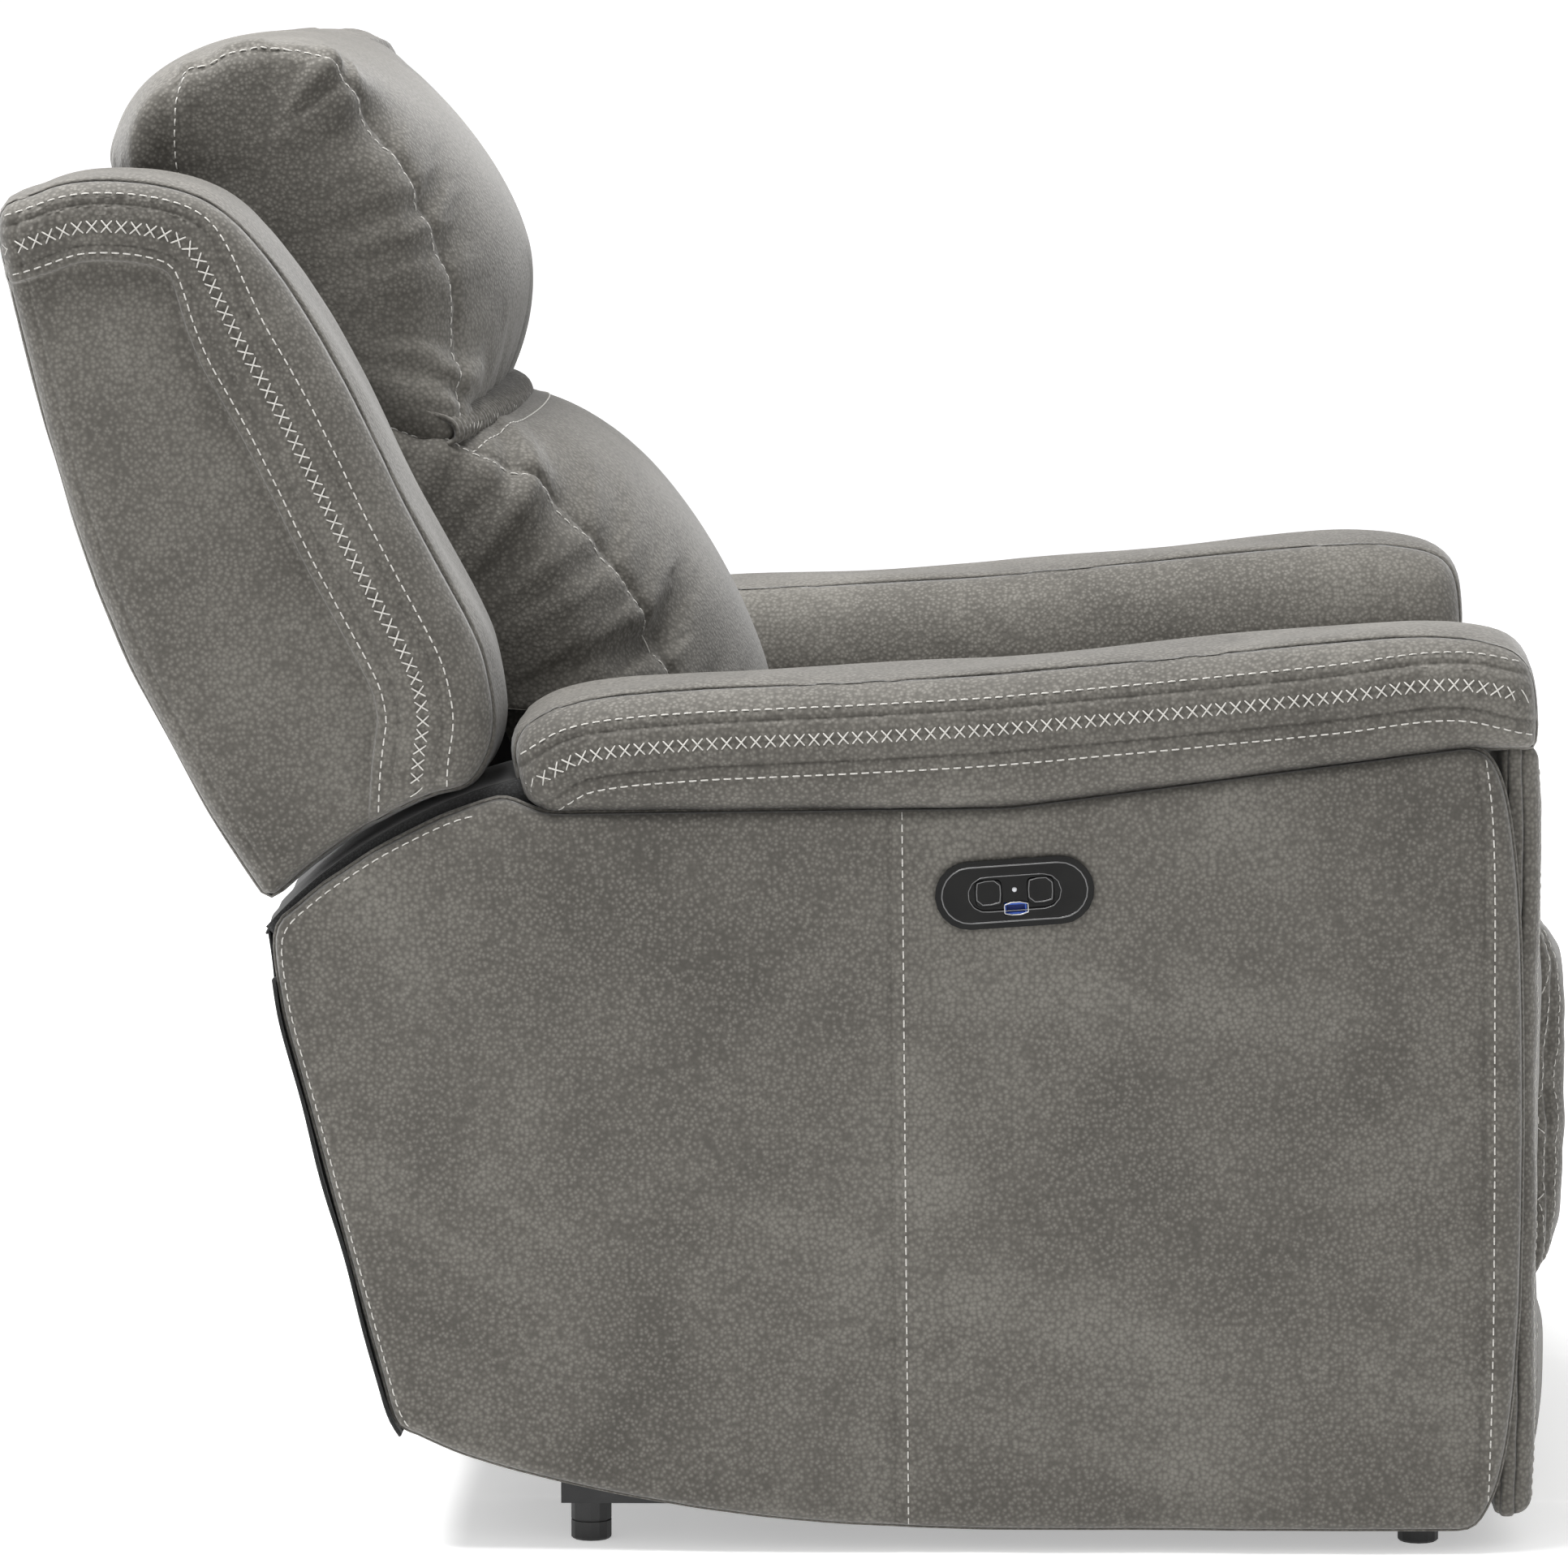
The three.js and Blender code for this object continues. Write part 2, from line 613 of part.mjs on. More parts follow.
add('drive_tube', cross_bar(tube_centre, tube_radius, -long_link_y + 2, long_link_y - 2, 20), black_steel);

const board_back_x = footrest_pivot.x + board_offset;
const board_top_z = footrest_pivot.y + 70;
const board_low_z = board_top_z - footrest_height;
for (const [side_name, side] of sides) {
  const [px, pz] = [footrest_pivot.x, footrest_pivot.y];
  const outline = new THREE.Shape();
  outline.absarc(px, pz, link_width / 2, Math.PI / 2, Math.PI * 1.5, false);
  outline.lineTo(px + board_offset - 22, pz - 13);
  outline.lineTo(px + board_offset - 22, pz - 150);
  outline.lineTo(px + board_offset - fit, pz - 150);
  outline.lineTo(px + board_offset - fit, pz + 40);
  outline.lineTo(px + board_offset - 22, pz + 13);
  outline.closePath();
  add(`footrest_bracket_${side_name}`, joined(
    side_slab(side, outline, bracket_y, bracket_y + plate_thickness, 6),
    stud_bar(side, footrest_pivot, bracket_y, long_link_y + plate_thickness + 1),
  ), black_steel);
}
add(
  'footrest_board',
  box(board_back_x, board_back_x + board_thickness, -between_arms, between_arms, board_low_z, board_top_z),
  plywood,
);

const pad_back_x = board_back_x + board_thickness + fit;
const pad_split_z = 155;
// One footrest pad: flat on the board, bulging by half of its depth in the middle.
function footrest_pad(z_low, z_high, depth, lip) {
  const corner = depth * 0.45;
  const shape = new THREE.Shape();
  shape.moveTo(pad_back_x, z_low);
  shape.splineThru([
    v2(pad_back_x + depth - corner, z_low + lip),
    v2(pad_back_x + depth - 4, z_low + corner + lip),
    v2(pad_back_x + depth, (z_low + z_high) / 2),
    v2(pad_back_x + depth - 4, z_high - corner - lip),
    v2(pad_back_x + depth - corner, z_high - lip),
    v2(pad_back_x, z_high),
  ]);
  shape.closePath();
  return padded_slab(shape, -between_arms, between_arms, 8);
}
add('footrest_pad_upper', footrest_pad(pad_split_z + 1, board_top_z + 10, footrest_pad_depth, 4), leather);
add('footrest_pad_lower', footrest_pad(board_low_z - 20, pad_split_z - 1, footrest_pad_depth - 11, 4), leather);

// The drive link swings on the nut and stops short of the tube it pushes.
const drive_foot = v2(nut_x, nut_z + 22);
const drive_link = capsule(drive_foot, tube_centre.clone().lerp(drive_foot, 0.2), 10);
round_hole(drive_link, drive_foot, pin_radius + running_fit);
add('drive_link', slab(drive_link, nut_half + 2, nut_half + 2 + plate_thickness, 5), black_steel);

// ---------------------------------------------------------------- back
const rise_base_z = 520; // everything above this height stretches with the height of the back
const rise = (back_height - rise_base_z) / 497;
const up = (z) => rise_base_z + (z - rise_base_z) * rise;

// The rear face of the back, from its lower edge up, as seen from the side.
const rear_face = [
  v2(wing_rear_x + 162, 462), v2(wing_rear_x + 139, 500), v2(wing_rear_x + 84, up(604)),
  v2(wing_rear_x + 44, up(712)), v2(wing_rear_x + 14, up(839)), v2(wing_rear_x, up(894)),
];

function wing_outline() {
  const shape = new THREE.Shape();
  const front_low = around_pivot(wing_arc_radius + 3, 114);
  const rear_low = around_pivot(wing_arc_radius, 134.5);
  shape.moveTo(rear_low.x, rear_low.y);
  shape.absarc(pivot.x, pivot.y, wing_arc_radius, radians(134.5), radians(116), true);
  shape.splineThru([
    v2(front_low.x + 10, front_low.y),
    v2(-220, 516),
    v2(-206, 537),
    v2(-201, 556),
    v2(-201, up(573)),
    v2(-206, up(601)),
    v2(-216, up(629)),
    v2(-257, up(705)),
    v2(-297, up(788)),
    v2(-339, up(860)),
    v2(-378, up(907)),
    v2(-417, up(926)),
    v2(-468, up(931)),
    v2(wing_rear_x + 27, up(925)),
    v2(wing_rear_x + 4, up(908)),
    v2(wing_rear_x, up(892)),
    v2(wing_rear_x + 14, up(829)),
    v2(wing_rear_x + 44, up(712)),
    v2(wing_rear_x + 84, up(604)),
    v2(wing_rear_x + 139, 500),
  ]);
  shape.closePath();
  return shape;
}
for (const [side_name, side] of sides) {
  add(`wing_${side_name}`, side_pad(side, wing_outline(), arm_inner_y, outer_y, 14, 2), leather);
}

const frame_foot = v2(-275, 525);
const frame_head = v2(-445, up(872));
const frame_direction = frame_head.clone().sub(frame_foot).normalize();
const frame_normal = v2(frame_direction.y, -frame_direction.x); // towards the sitter
const frame_half = 20;
const off_frame = (point, ahead, along = 0) => (
  point.clone().addScaledVector(frame_normal, ahead).addScaledVector(frame_direction, along)
);

// The rear panel of the back, a padded board that follows the rear face.
function back_panel() {
  const thickness = 18;
  const outer = rear_face.map((p) => v2(p.x + 1, p.y - 3));
  const inner = rear_face.map((p) => v2(p.x + 1 + thickness, p.y + 2)).reverse();
  const shape = new THREE.Shape();
  shape.moveTo(outer[0].x, outer[0].y);
  shape.lineTo(inner[inner.length - 1].x, inner[inner.length - 1].y);
  for (const point of inner.slice(0, -1).reverse()) shape.lineTo(point.x, point.y);
  for (const point of [...outer].reverse().slice(0, -1)) shape.lineTo(point.x, point.y);
  shape.closePath();
  return padded_slab(shape, -between_arms, between_arms, 3, 1);
}
add('back_panel', back_panel(), leather);

const cushion_front_of_frame = frame_half + 2;
const neck = v2(-214, up(749));
function lumbar_cushion() {
  const low_front = around_pivot(305, 73);
  const low_step = around_pivot(305, 95);
  const low_back = around_pivot(356, 96);
  const rear_low = off_frame(frame_foot, cushion_front_of_frame, 18);
  const rear_high = off_frame(frame_head, cushion_front_of_frame, -118);
  const shape = new THREE.Shape();
  shape.moveTo(low_step.x, low_step.y);
  shape.absarc(pivot.x, pivot.y, 305, radians(95), radians(73), true);
  shape.splineThru([
    v2(low_front.x + 1, low_front.y + 24),
    v2(-31, up(554)),
    v2(-52, up(610)),
    v2(-87, up(670)),
    v2(-132, up(719)),
    v2(-177, up(741)),
    v2(neck.x, neck.y - 3),
  ]);
  shape.lineTo(rear_high.x, rear_high.y);
  shape.lineTo(rear_low.x, rear_low.y);
  shape.lineTo(low_back.x, low_back.y);
  shape.closePath();
  return padded_slab(shape, -between_arms, between_arms, 10);
}
add('lumbar_cushion', lumbar_cushion(), leather);

function head_cushion() {
  const rear_low = off_frame(frame_head, cushion_front_of_frame, -112);
  const rear_high = off_frame(frame_head, cushion_front_of_frame, 30);
  const rear_x = wing_rear_x + 40;
  const shape = new THREE.Shape();
  shape.moveTo(rear_low.x, rear_low.y);
  shape.lineTo(neck.x, neck.y + 3);
  shape.splineThru([
    v2(-204, up(785)),
    v2(-200, up(824)),
    v2(-208, up(882)),
    v2(-237, up(936)),
    v2(-284, up(986)),
    v2(-334, up(1013)),
    v2(-375, up(1017)),
    v2(-439, up(1001)),
    v2(-477, up(970)),
    v2(rear_x, up(925)),
  ]);
  shape.lineTo(rear_x + 2, up(904));
  shape.lineTo(rear_high.x, up(904));
  shape.closePath();
  return padded_slab(shape, -between_arms, between_arms, 10);
}
add('head_cushion', head_cushion(), leather);

const hinge_setback = 4; // keeps the top of each hinge plate behind the cushions
const post_thickness = 47;
const post_inner_y = short_link_y - 1 - post_thickness;
const post_outer_y = short_link_y - 1;
for (const [side_name, side] of sides) {
  const outline = polygon([
    off_frame(frame_foot, frame_half, 20),
    off_frame(frame_foot, -frame_half, 20),
    off_frame(frame_head, -frame_half, 20),
    off_frame(frame_head, frame_half, 20),
  ].reverse());
  add(`back_post_${side_name}`, side_slab(side, outline, post_inner_y, post_outer_y), plywood);

  const hinge = new THREE.Shape();
  const top = off_frame(frame_foot, -hinge_setback, 60);
  hinge.setFromPoints(capsule(pivot, top, 20).getPoints(5));
  round_hole(hinge, pivot, recline_pin_radius + running_fit);
  add(
    `hinge_plate_${side_name}`,
    side_slab(side, hinge, short_link_y, short_link_y + plate_thickness, 8),
    black_steel,
  );
  add(
    `recline_pin_${side_name}`,
    side_slab(side, disc(pivot, recline_pin_radius), short_link_y - 4, plate_inner_y - fit, 8),
    bright_steel,
  );
}

const rail_half_y = post_inner_y - fit;
for (const [rail_name, base, along] of [['back_rail_lower', frame_foot, 45], ['back_rail_upper', frame_head, -10]]) {
  const outline = polygon([
    off_frame(base, frame_half, along),
    off_frame(base, -frame_half, along),
    off_frame(base, -frame_half, along + 30),
    off_frame(base, frame_half, along + 30),
  ].reverse());
  add(rail_name, slab(outline, -rail_half_y, rail_half_y), plywood);
}

// ---------------------------------------------------------------- power inlet
const rear_lean = 0.27; // how far the rear panel leans back for each millimetre up
const inlet_x = panel_rear_foot.x + 2 - (inlet_z - panel_rear_foot.y) * rear_lean;
const inlet_block = box(inlet_x, inlet_x + inlet_depth, -inlet_half_y, inlet_half_y,
  inlet_z - inlet_half_z, inlet_z + inlet_half_z);
const inlet_bore = new THREE.CylinderGeometry(inlet_bore_radius, inlet_bore_radius, 2 * inlet_bore_depth, 16);
inlet_bore.rotateZ(Math.PI / 2);
inlet_bore.translate(inlet_x, 0, inlet_z);
add('power_inlet', cut(inlet_block, inlet_bore), black_plastic);

// The origin is under the middle of the whole chair, on the floor.
const bounds = new THREE.Box3().setFromObject(group);
group.position.x = -(bounds.min.x + bounds.max.x) / 2;

export default group;
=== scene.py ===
# Power recliner armchair: the leather, thread, wood, steel and plastic of the finished chair, made
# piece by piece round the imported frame. Metres, +X front, +Y the sitter's left, +Z up.
import json
import math

import bmesh
import bpy
import numpy as np
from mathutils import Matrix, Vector
from mathutils.bvhtree import BVHTree
from mathutils.geometry import delaunay_2d_cdt
from mathutils.kdtree import KDTree


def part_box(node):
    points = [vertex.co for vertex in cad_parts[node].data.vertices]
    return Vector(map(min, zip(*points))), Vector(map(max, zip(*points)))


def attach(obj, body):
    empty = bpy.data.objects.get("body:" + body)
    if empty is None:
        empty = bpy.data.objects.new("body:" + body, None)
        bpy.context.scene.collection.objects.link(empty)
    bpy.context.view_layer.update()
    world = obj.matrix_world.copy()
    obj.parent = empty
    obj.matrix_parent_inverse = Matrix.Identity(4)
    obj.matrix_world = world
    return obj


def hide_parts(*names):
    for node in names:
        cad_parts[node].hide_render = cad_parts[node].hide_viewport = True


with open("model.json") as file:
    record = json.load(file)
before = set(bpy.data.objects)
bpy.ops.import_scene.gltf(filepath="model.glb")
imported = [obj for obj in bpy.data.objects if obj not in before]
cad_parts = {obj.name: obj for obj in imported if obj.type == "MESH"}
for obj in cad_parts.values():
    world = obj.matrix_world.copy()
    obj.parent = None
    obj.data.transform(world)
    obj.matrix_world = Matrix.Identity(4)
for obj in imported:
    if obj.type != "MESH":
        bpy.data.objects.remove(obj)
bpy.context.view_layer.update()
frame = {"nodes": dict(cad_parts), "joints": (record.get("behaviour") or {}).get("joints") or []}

# ---------------------------------------------------------------- camera, floor and light
# The chair is seen from its right side, from just above arm height and a long way off. It stands
# on a plain white floor that runs up into a white backdrop, under three large soft lights.
CAMERA_AZIMUTH = math.radians(0.9)
CAMERA_ELEVATION = math.radians(6.3)
CAMERA_DISTANCE = 5.9
CAMERA_LENS = 186.0
camera_aim = Vector((-0.0169, 0.0, 0.4718))
camera_back = Vector((
    math.sin(CAMERA_AZIMUTH) * math.cos(CAMERA_ELEVATION),
    -math.cos(CAMERA_AZIMUTH) * math.cos(CAMERA_ELEVATION),
    math.sin(CAMERA_ELEVATION),
))
camera_data = bpy.data.cameras.new("camera")
camera_data.lens = CAMERA_LENS
camera_data.sensor_width = 36.0
camera = bpy.data.objects.new("camera", camera_data)
camera.location = camera_aim + camera_back * CAMERA_DISTANCE
camera.rotation_euler = (-camera_back).to_track_quat("-Z", "Y").to_euler()
bpy.context.collection.objects.link(camera)
bpy.context.scene.camera = camera
bpy.context.scene.view_settings.view_transform = "Standard"


class Wire:
    """A socket of a material's node tree, with arithmetic that adds Math nodes."""

    def __init__(self, tree, socket):
        self.tree = tree
        self.socket = socket

    def math(self, operation, *others):
        return self.tree.add("ShaderNodeMath", {"operation": operation}, [self, *others])[0]

    def __add__(self, other):
        return self.math("ADD", other)

    def __sub__(self, other):
        return self.math("SUBTRACT", other)

    def __mul__(self, other):
        return self.math("MULTIPLY", other)

    def __truediv__(self, other):
        return self.math("DIVIDE", other)

    def __pow__(self, other):
        return self.math("POWER", other)

    def __rsub__(self, other):
        return (self * -1.0) + other

    __radd__ = __add__
    __rmul__ = __mul__


class Finish:
    """One material, with its shader ready to be wired."""

    def __init__(self, name, color, roughness, metallic=0.0, **constants):
        self.material = bpy.data.materials.new(name)
        self.material.use_nodes = True
        self.nodes = self.material.node_tree.nodes
        self.links = self.material.node_tree.links
        self.shader = self.nodes["Principled BSDF"]
        self.shader.inputs["Base Color"].default_value = (*color, 1.0)
        self.shader.inputs["Roughness"].default_value = roughness
        self.shader.inputs["Metallic"].default_value = metallic
        for socket, value in constants.items():
            self.shader.inputs[socket.replace("_", " ")].default_value = value

    def add(self, kind, settings=None, values=None):
        """Adds a node; settings are set first, then its sockets by name or number."""
        node = self.nodes.new(kind)
        for key, value in (settings or {}).items():
            if key == "stops":
                ramp = node.color_ramp.elements
                for at, color in value[len(ramp):]:
                    ramp.new(at)
                for element, (at, color) in zip(ramp, value):
                    element.position = at
                    element.color = (*(color if isinstance(color, tuple) else (color,) * 3), 1.0)
            else:
                setattr(node, key, value)
        items = values.items() if isinstance(values, dict) else enumerate(values or [])
        for key, value in items:
            if isinstance(value, Wire):
                self.links.new(value.socket, node.inputs[key])
            else:
                node.inputs[key].default_value = value
        return [Wire(self, socket) for socket in node.outputs if socket.enabled]

    def feed(self, **wires):
        for socket, wire in wires.items():
            self.links.new(wire.socket, self.shader.inputs[socket.replace("_", " ")])

    def place(self):
        """The place in the chair, in metres."""
        return self.add("ShaderNodeTexCoord")[3]

    def noise(self, where, scale, detail=2.0, roughness=0.5, distortion=0.0):
        values = {"Vector": where, "Scale": scale, "Detail": detail, "Roughness": roughness,
                  "Distortion": distortion}
        return self.add("ShaderNodeTexNoise", None, values)[0]

    def ramp(self, factor, *stops):
        return self.add("ShaderNodeValToRGB", {"stops": list(stops)}, {0: factor})[0]

    def mix(self, factor, one, other, blend="MIX"):
        settings = {"data_type": "RGBA", "blend_type": blend}
        return self.add("ShaderNodeMix", settings, {0: factor, 6: one, 7: other})[0]

    def bump(self, height, strength, distance):
        values = {"Height": height, "Strength": strength, "Distance": distance}
        return self.add("ShaderNodeBump", None, values)[0]


backdrop_finish = Finish("backdrop", (0.93, 0.93, 0.93), 0.9, Emission_Color=(1.0, 1.0, 1.0, 1.0),
                         Emission_Strength=0.42)
backdrop_finish.feed(Base_Color=backdrop_finish.ramp(
    backdrop_finish.noise(backdrop_finish.place(), 0.6), (0.0, 0.92), (1.0, 0.94)))
sweep = bmesh.new()
SWEEP_HALF_WIDTH = 45.0
FLOOR_FRONT, FLOOR_BACK, SWEEP_RADIUS, SWEEP_TOP = -40.0, 29.0, 8.0, 38.0
sweep_profile = [(FLOOR_FRONT, 0.0), (FLOOR_BACK - SWEEP_RADIUS, 0.0)]
for step in range(1, 13):
    turn = math.radians(90 * step / 12)
    sweep_profile.append((FLOOR_BACK - SWEEP_RADIUS + SWEEP_RADIUS * math.sin(turn),
                          SWEEP_RADIUS * (1 - math.cos(turn))))
sweep_profile.append((FLOOR_BACK, SWEEP_TOP))
sweep_rows = [[sweep.verts.new((x, y, z)) for x in (-SWEEP_HALF_WIDTH, SWEEP_HALF_WIDTH)]
              for y, z in sweep_profile]
for low, high in zip(sweep_rows, sweep_rows[1:]):
    sweep.faces.new((low[0], low[1], high[1], high[0])).smooth = True
sweep_mesh = bpy.data.meshes.new("backdrop")
sweep.to_mesh(sweep_mesh)
sweep_mesh.materials.append(backdrop_finish.material)
backdrop = bpy.data.objects.new("backdrop", sweep_mesh)
bpy.context.collection.objects.link(backdrop)

world = bpy.data.worlds.new("studio")
bpy.context.scene.world = world
world.use_nodes = True
world.node_tree.nodes["Background"].inputs["Color"].default_value = (1.0, 1.0, 1.0, 1.0)
world.node_tree.nodes["Background"].inputs["Strength"].default_value = 0.55
for light_name, place, size, power in (
    ("overhead", (-0.9, -0.3, 3.5), 2.4, 235.0),
    ("side", (-1.6, -3.4, 2.6), 2.4, 5.0),
    ("front", (3.2, -1.0, 2.2), 2.0, 1.5),
):
    lamp_data = bpy.data.lights.new(light_name, "AREA")
    lamp_data.shape = "DISK"
    lamp_data.size = size
    lamp_data.energy = power
    lamp = bpy.data.objects.new(light_name, lamp_data)
    lamp.location = place
    lamp.rotation_euler = (Vector(place) - Vector((0.0, 0.0, 0.5))).to_track_quat("Z",
                                                                                  "Y").to_euler()
    bpy.context.collection.objects.link(lamp)

# ---------------------------------------------------------------- the leather
# Warm grey leather-look cover with a brushed, cloudy surface and a fine pebbled grain. Its tips
# carry a painted highlight and its valleys a painted shade. Every cover of the chair is cut from
# it.
LEATHER_MID = (0.0918, 0.0855, 0.0743)
LEATHER_PALE = (0.1350, 0.1278, 0.1124)
LEATHER_DARK = (0.0612, 0.0567, 0.0487)
# Painted highlight for the grain's tips and painted shade for its valleys.
LEATHER_TIP_HIGHLIGHT = (0.2025, 0.1926, 0.1717, 1.0)
LEATHER_VALLEY_SHADE = (0.0324, 0.0297, 0.0248, 1.0)
GRAIN_CELL = 0.0029


def make_leather(name, tone=1.0):
    leather = Finish(name, LEATHER_MID, 0.72, Specular_IOR_Level=0.3, Sheen_Weight=0.2,
                     Sheen_Roughness=0.5)
    place = leather.place()
    clouds = leather.noise(place, 5.0, 4.0, 0.58, 0.6)
    patches = leather.noise(place, 15.0, 3.0, 0.6, 0.3)
    flecks = leather.noise(place, 0.9 / GRAIN_CELL, 2.0, 0.6)
    warp = leather.add("ShaderNodeTexNoise", None,
                       {"Vector": place, "Scale": 140.0, "Detail": 1.0})[1]
    bent = leather.add("ShaderNodeVectorMath", {"operation": "MULTIPLY_ADD"},
                       {0: warp, 1: (0.0016, 0.0016, 0.0016), 2: place})[0]
    cells = leather.add("ShaderNodeTexVoronoi", {"feature": "F1"},
                        {"Vector": bent, "Scale": 1 / GRAIN_CELL, "Randomness": 0.9})[0]
    cloud = clouds * 0.66 + patches * 0.34
    ground = leather.ramp(
        cloud,
        (0.33, tuple(tone * value for value in LEATHER_DARK)),
        (0.50, tuple(tone * value for value in LEATHER_MID)),
        (0.67, tuple(tone * value for value in LEATHER_PALE)),
    )
    # Paler tips are a painted highlight and darker valleys a painted shade, laid over the grain's
    # real cells.
    highlight_tips = leather.ramp(cells, (0.10, 1.0), (0.50, 0.0))
    shaded_valleys = leather.ramp(cells, (0.48, 0.0), (0.80, 1.0))
    with_tip_highlights = leather.mix(highlight_tips * (0.30 + flecks * 0.34), ground, LEATHER_TIP_HIGHLIGHT)
    leather.feed(
        Base_Color=leather.mix(shaded_valleys * (0.22 + patches * 0.3), with_tip_highlights, LEATHER_VALLEY_SHADE),
        Roughness=0.80 - highlight_tips * 0.12 - clouds * 0.08,
        Normal=leather.bump(1.0 - cells + flecks * 0.3, 0.5, 0.0006),
    )
    return leather.material


leather_cover = make_leather("leather")

# ---------------------------------------------------------------- wings
# Each wing is a padded side of the back under one tailored cover: a rounded top and front edge,
# a band sewn along it with a row of cross stitches, and an outer panel set in below the band.
SHELL_SPACING = 0.0075
SEAM_DEPTH = 0.0021
SEAM_HALF_WIDTH = 0.0016


def dense(points, spacing, closed=False):
    """The same line with points a spacing apart."""
    points = np.asarray(points, float)
    if closed:
        points = np.vstack([points, points[:1]])
    along = np.r_[0, np.cumsum(np.linalg.norm(np.diff(points, axis=0), axis=1))]
    count = max(2, int(round(along[-1] / spacing)) + 1)
    at = np.linspace(0, along[-1], count)
    if closed:
        at = at[:-1]
    return np.stack([np.interp(at, along, points[:, k]) for k in range(points.shape[1])], 1)


def flowing(points, spacing):
    """A smooth curve through a few points (Catmull-Rom), resampled."""
    points = np.asarray(points, float)
    padded = np.vstack([2 * points[0] - points[1], points, 2 * points[-1] - points[-2]])
    t = np.linspace(0, 1, 12, endpoint=False)[:, None]
    spans = []
    for a, b, c, d in zip(padded, padded[1:], padded[2:], padded[3:]):
        spans.append(0.5 * (2 * b + (c - a) * t + (2 * a - 5 * b + 4 * c - d) * t ** 2
                            + (3 * b - a - 3 * c + d) * t ** 3))
    return dense(np.vstack([*spans, points[-1:]]), spacing)


def outward_of(outline):
    """The outward direction at each point of a counter-clockwise outline."""
    normal = np.roll(outline, -1, 0) - np.roll(outline, 1, 0)
    normal = np.stack([normal[:, 1], -normal[:, 0]], 1)
    return normal / np.linalg.norm(normal, axis=1)[:, None]


def outline_of(node, spacing, smoothing=2):
    """The side-view outline of a CAD slab, counter-clockwise, read from its widest section."""
    corners = np.array([v.co for v in frame["nodes"][node].data.vertices])
    middle = (corners[:, 1].min() + corners[:, 1].max()) / 2
    reach = np.abs(corners[:, 1] - middle)
    spread = {}
    for level in np.unique(np.round(reach, 4)):
        ring = corners[np.abs(reach - level) < 1e-4][:, [0, 2]]
        spread[level] = (np.ptp(ring, axis=0).sum(), ring)
    ring = max(spread.values(), key=lambda item: round(item[0], 5))[1]
    ring = np.unique(np.round(ring, 5), axis=0)
    centre = (ring.min(0) + ring.max(0)) / 2
    ring = ring[np.argsort(np.arctan2(ring[:, 1] - centre[1], ring[:, 0] - centre[0]))]
    ring = dense(ring, spacing, closed=True)
    for _ in range(smoothing):
        ring = 0.5 * ring + 0.25 * (np.roll(ring, 1, 0) + np.roll(ring, -1, 0))
    return ring


def line_distance(points, line):
    """Distance of each point to a line, and how far along the line its nearest place is."""
    starts, ends = line[:-1], line[1:]
    spans = ends - starts
    lengths = np.linalg.norm(spans, axis=1)
    before = np.r_[0, np.cumsum(lengths)[:-1]]
    best = np.full(len(points), 1e9)
    where = np.zeros(len(points))
    for start, span, length, ahead in zip(starts, spans, lengths, before):
        share = np.clip((points - start) @ span / (length * length + 1e-12), 0, 1)
        gap = np.linalg.norm(points - start - share[:, None] * span, axis=1)
        nearer = gap < best
        best[nearer] = gap[nearer]
        where[nearer] = ahead + share[nearer] * length
    return best, where


def seam_dip(distance, depth=SEAM_DEPTH, half_width=SEAM_HALF_WIDTH):
    """How far the cover is pulled in at a distance from a seam: a sharp fold in a soft valley."""
    return depth * (0.6 * np.exp(-(distance / half_width) ** 2)
                    + 0.4 * np.exp(-(distance / (3.6 * half_width)) ** 2))


def smooth_noise(values, wavelength, seed):
    """Gentle random waves along one coordinate, between -1 and 1."""
    waves = np.random.default_rng(seed)
    total = np.zeros_like(values)
    for octave in range(4):
        length = wavelength / (1.0 + 0.7 * octave)
        total += np.sin(2 * np.pi * values / length + waves.uniform(0, 6.28)) / (1 + 0.5 * octave)
    return total / 2.4


def link(name, vertices, faces, material, body):
    mesh = bpy.data.meshes.new(name)
    mesh.from_pydata([tuple(v) for v in vertices], [], [tuple(int(i) for i in f) for f in faces])
    mesh.materials.append(material)
    mesh.polygons.foreach_set("use_smooth", [True] * len(mesh.polygons))
    mesh.update()
    piece = bpy.data.objects.new(name, mesh)
    bpy.context.collection.objects.link(piece)
    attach(piece, body)
    return piece


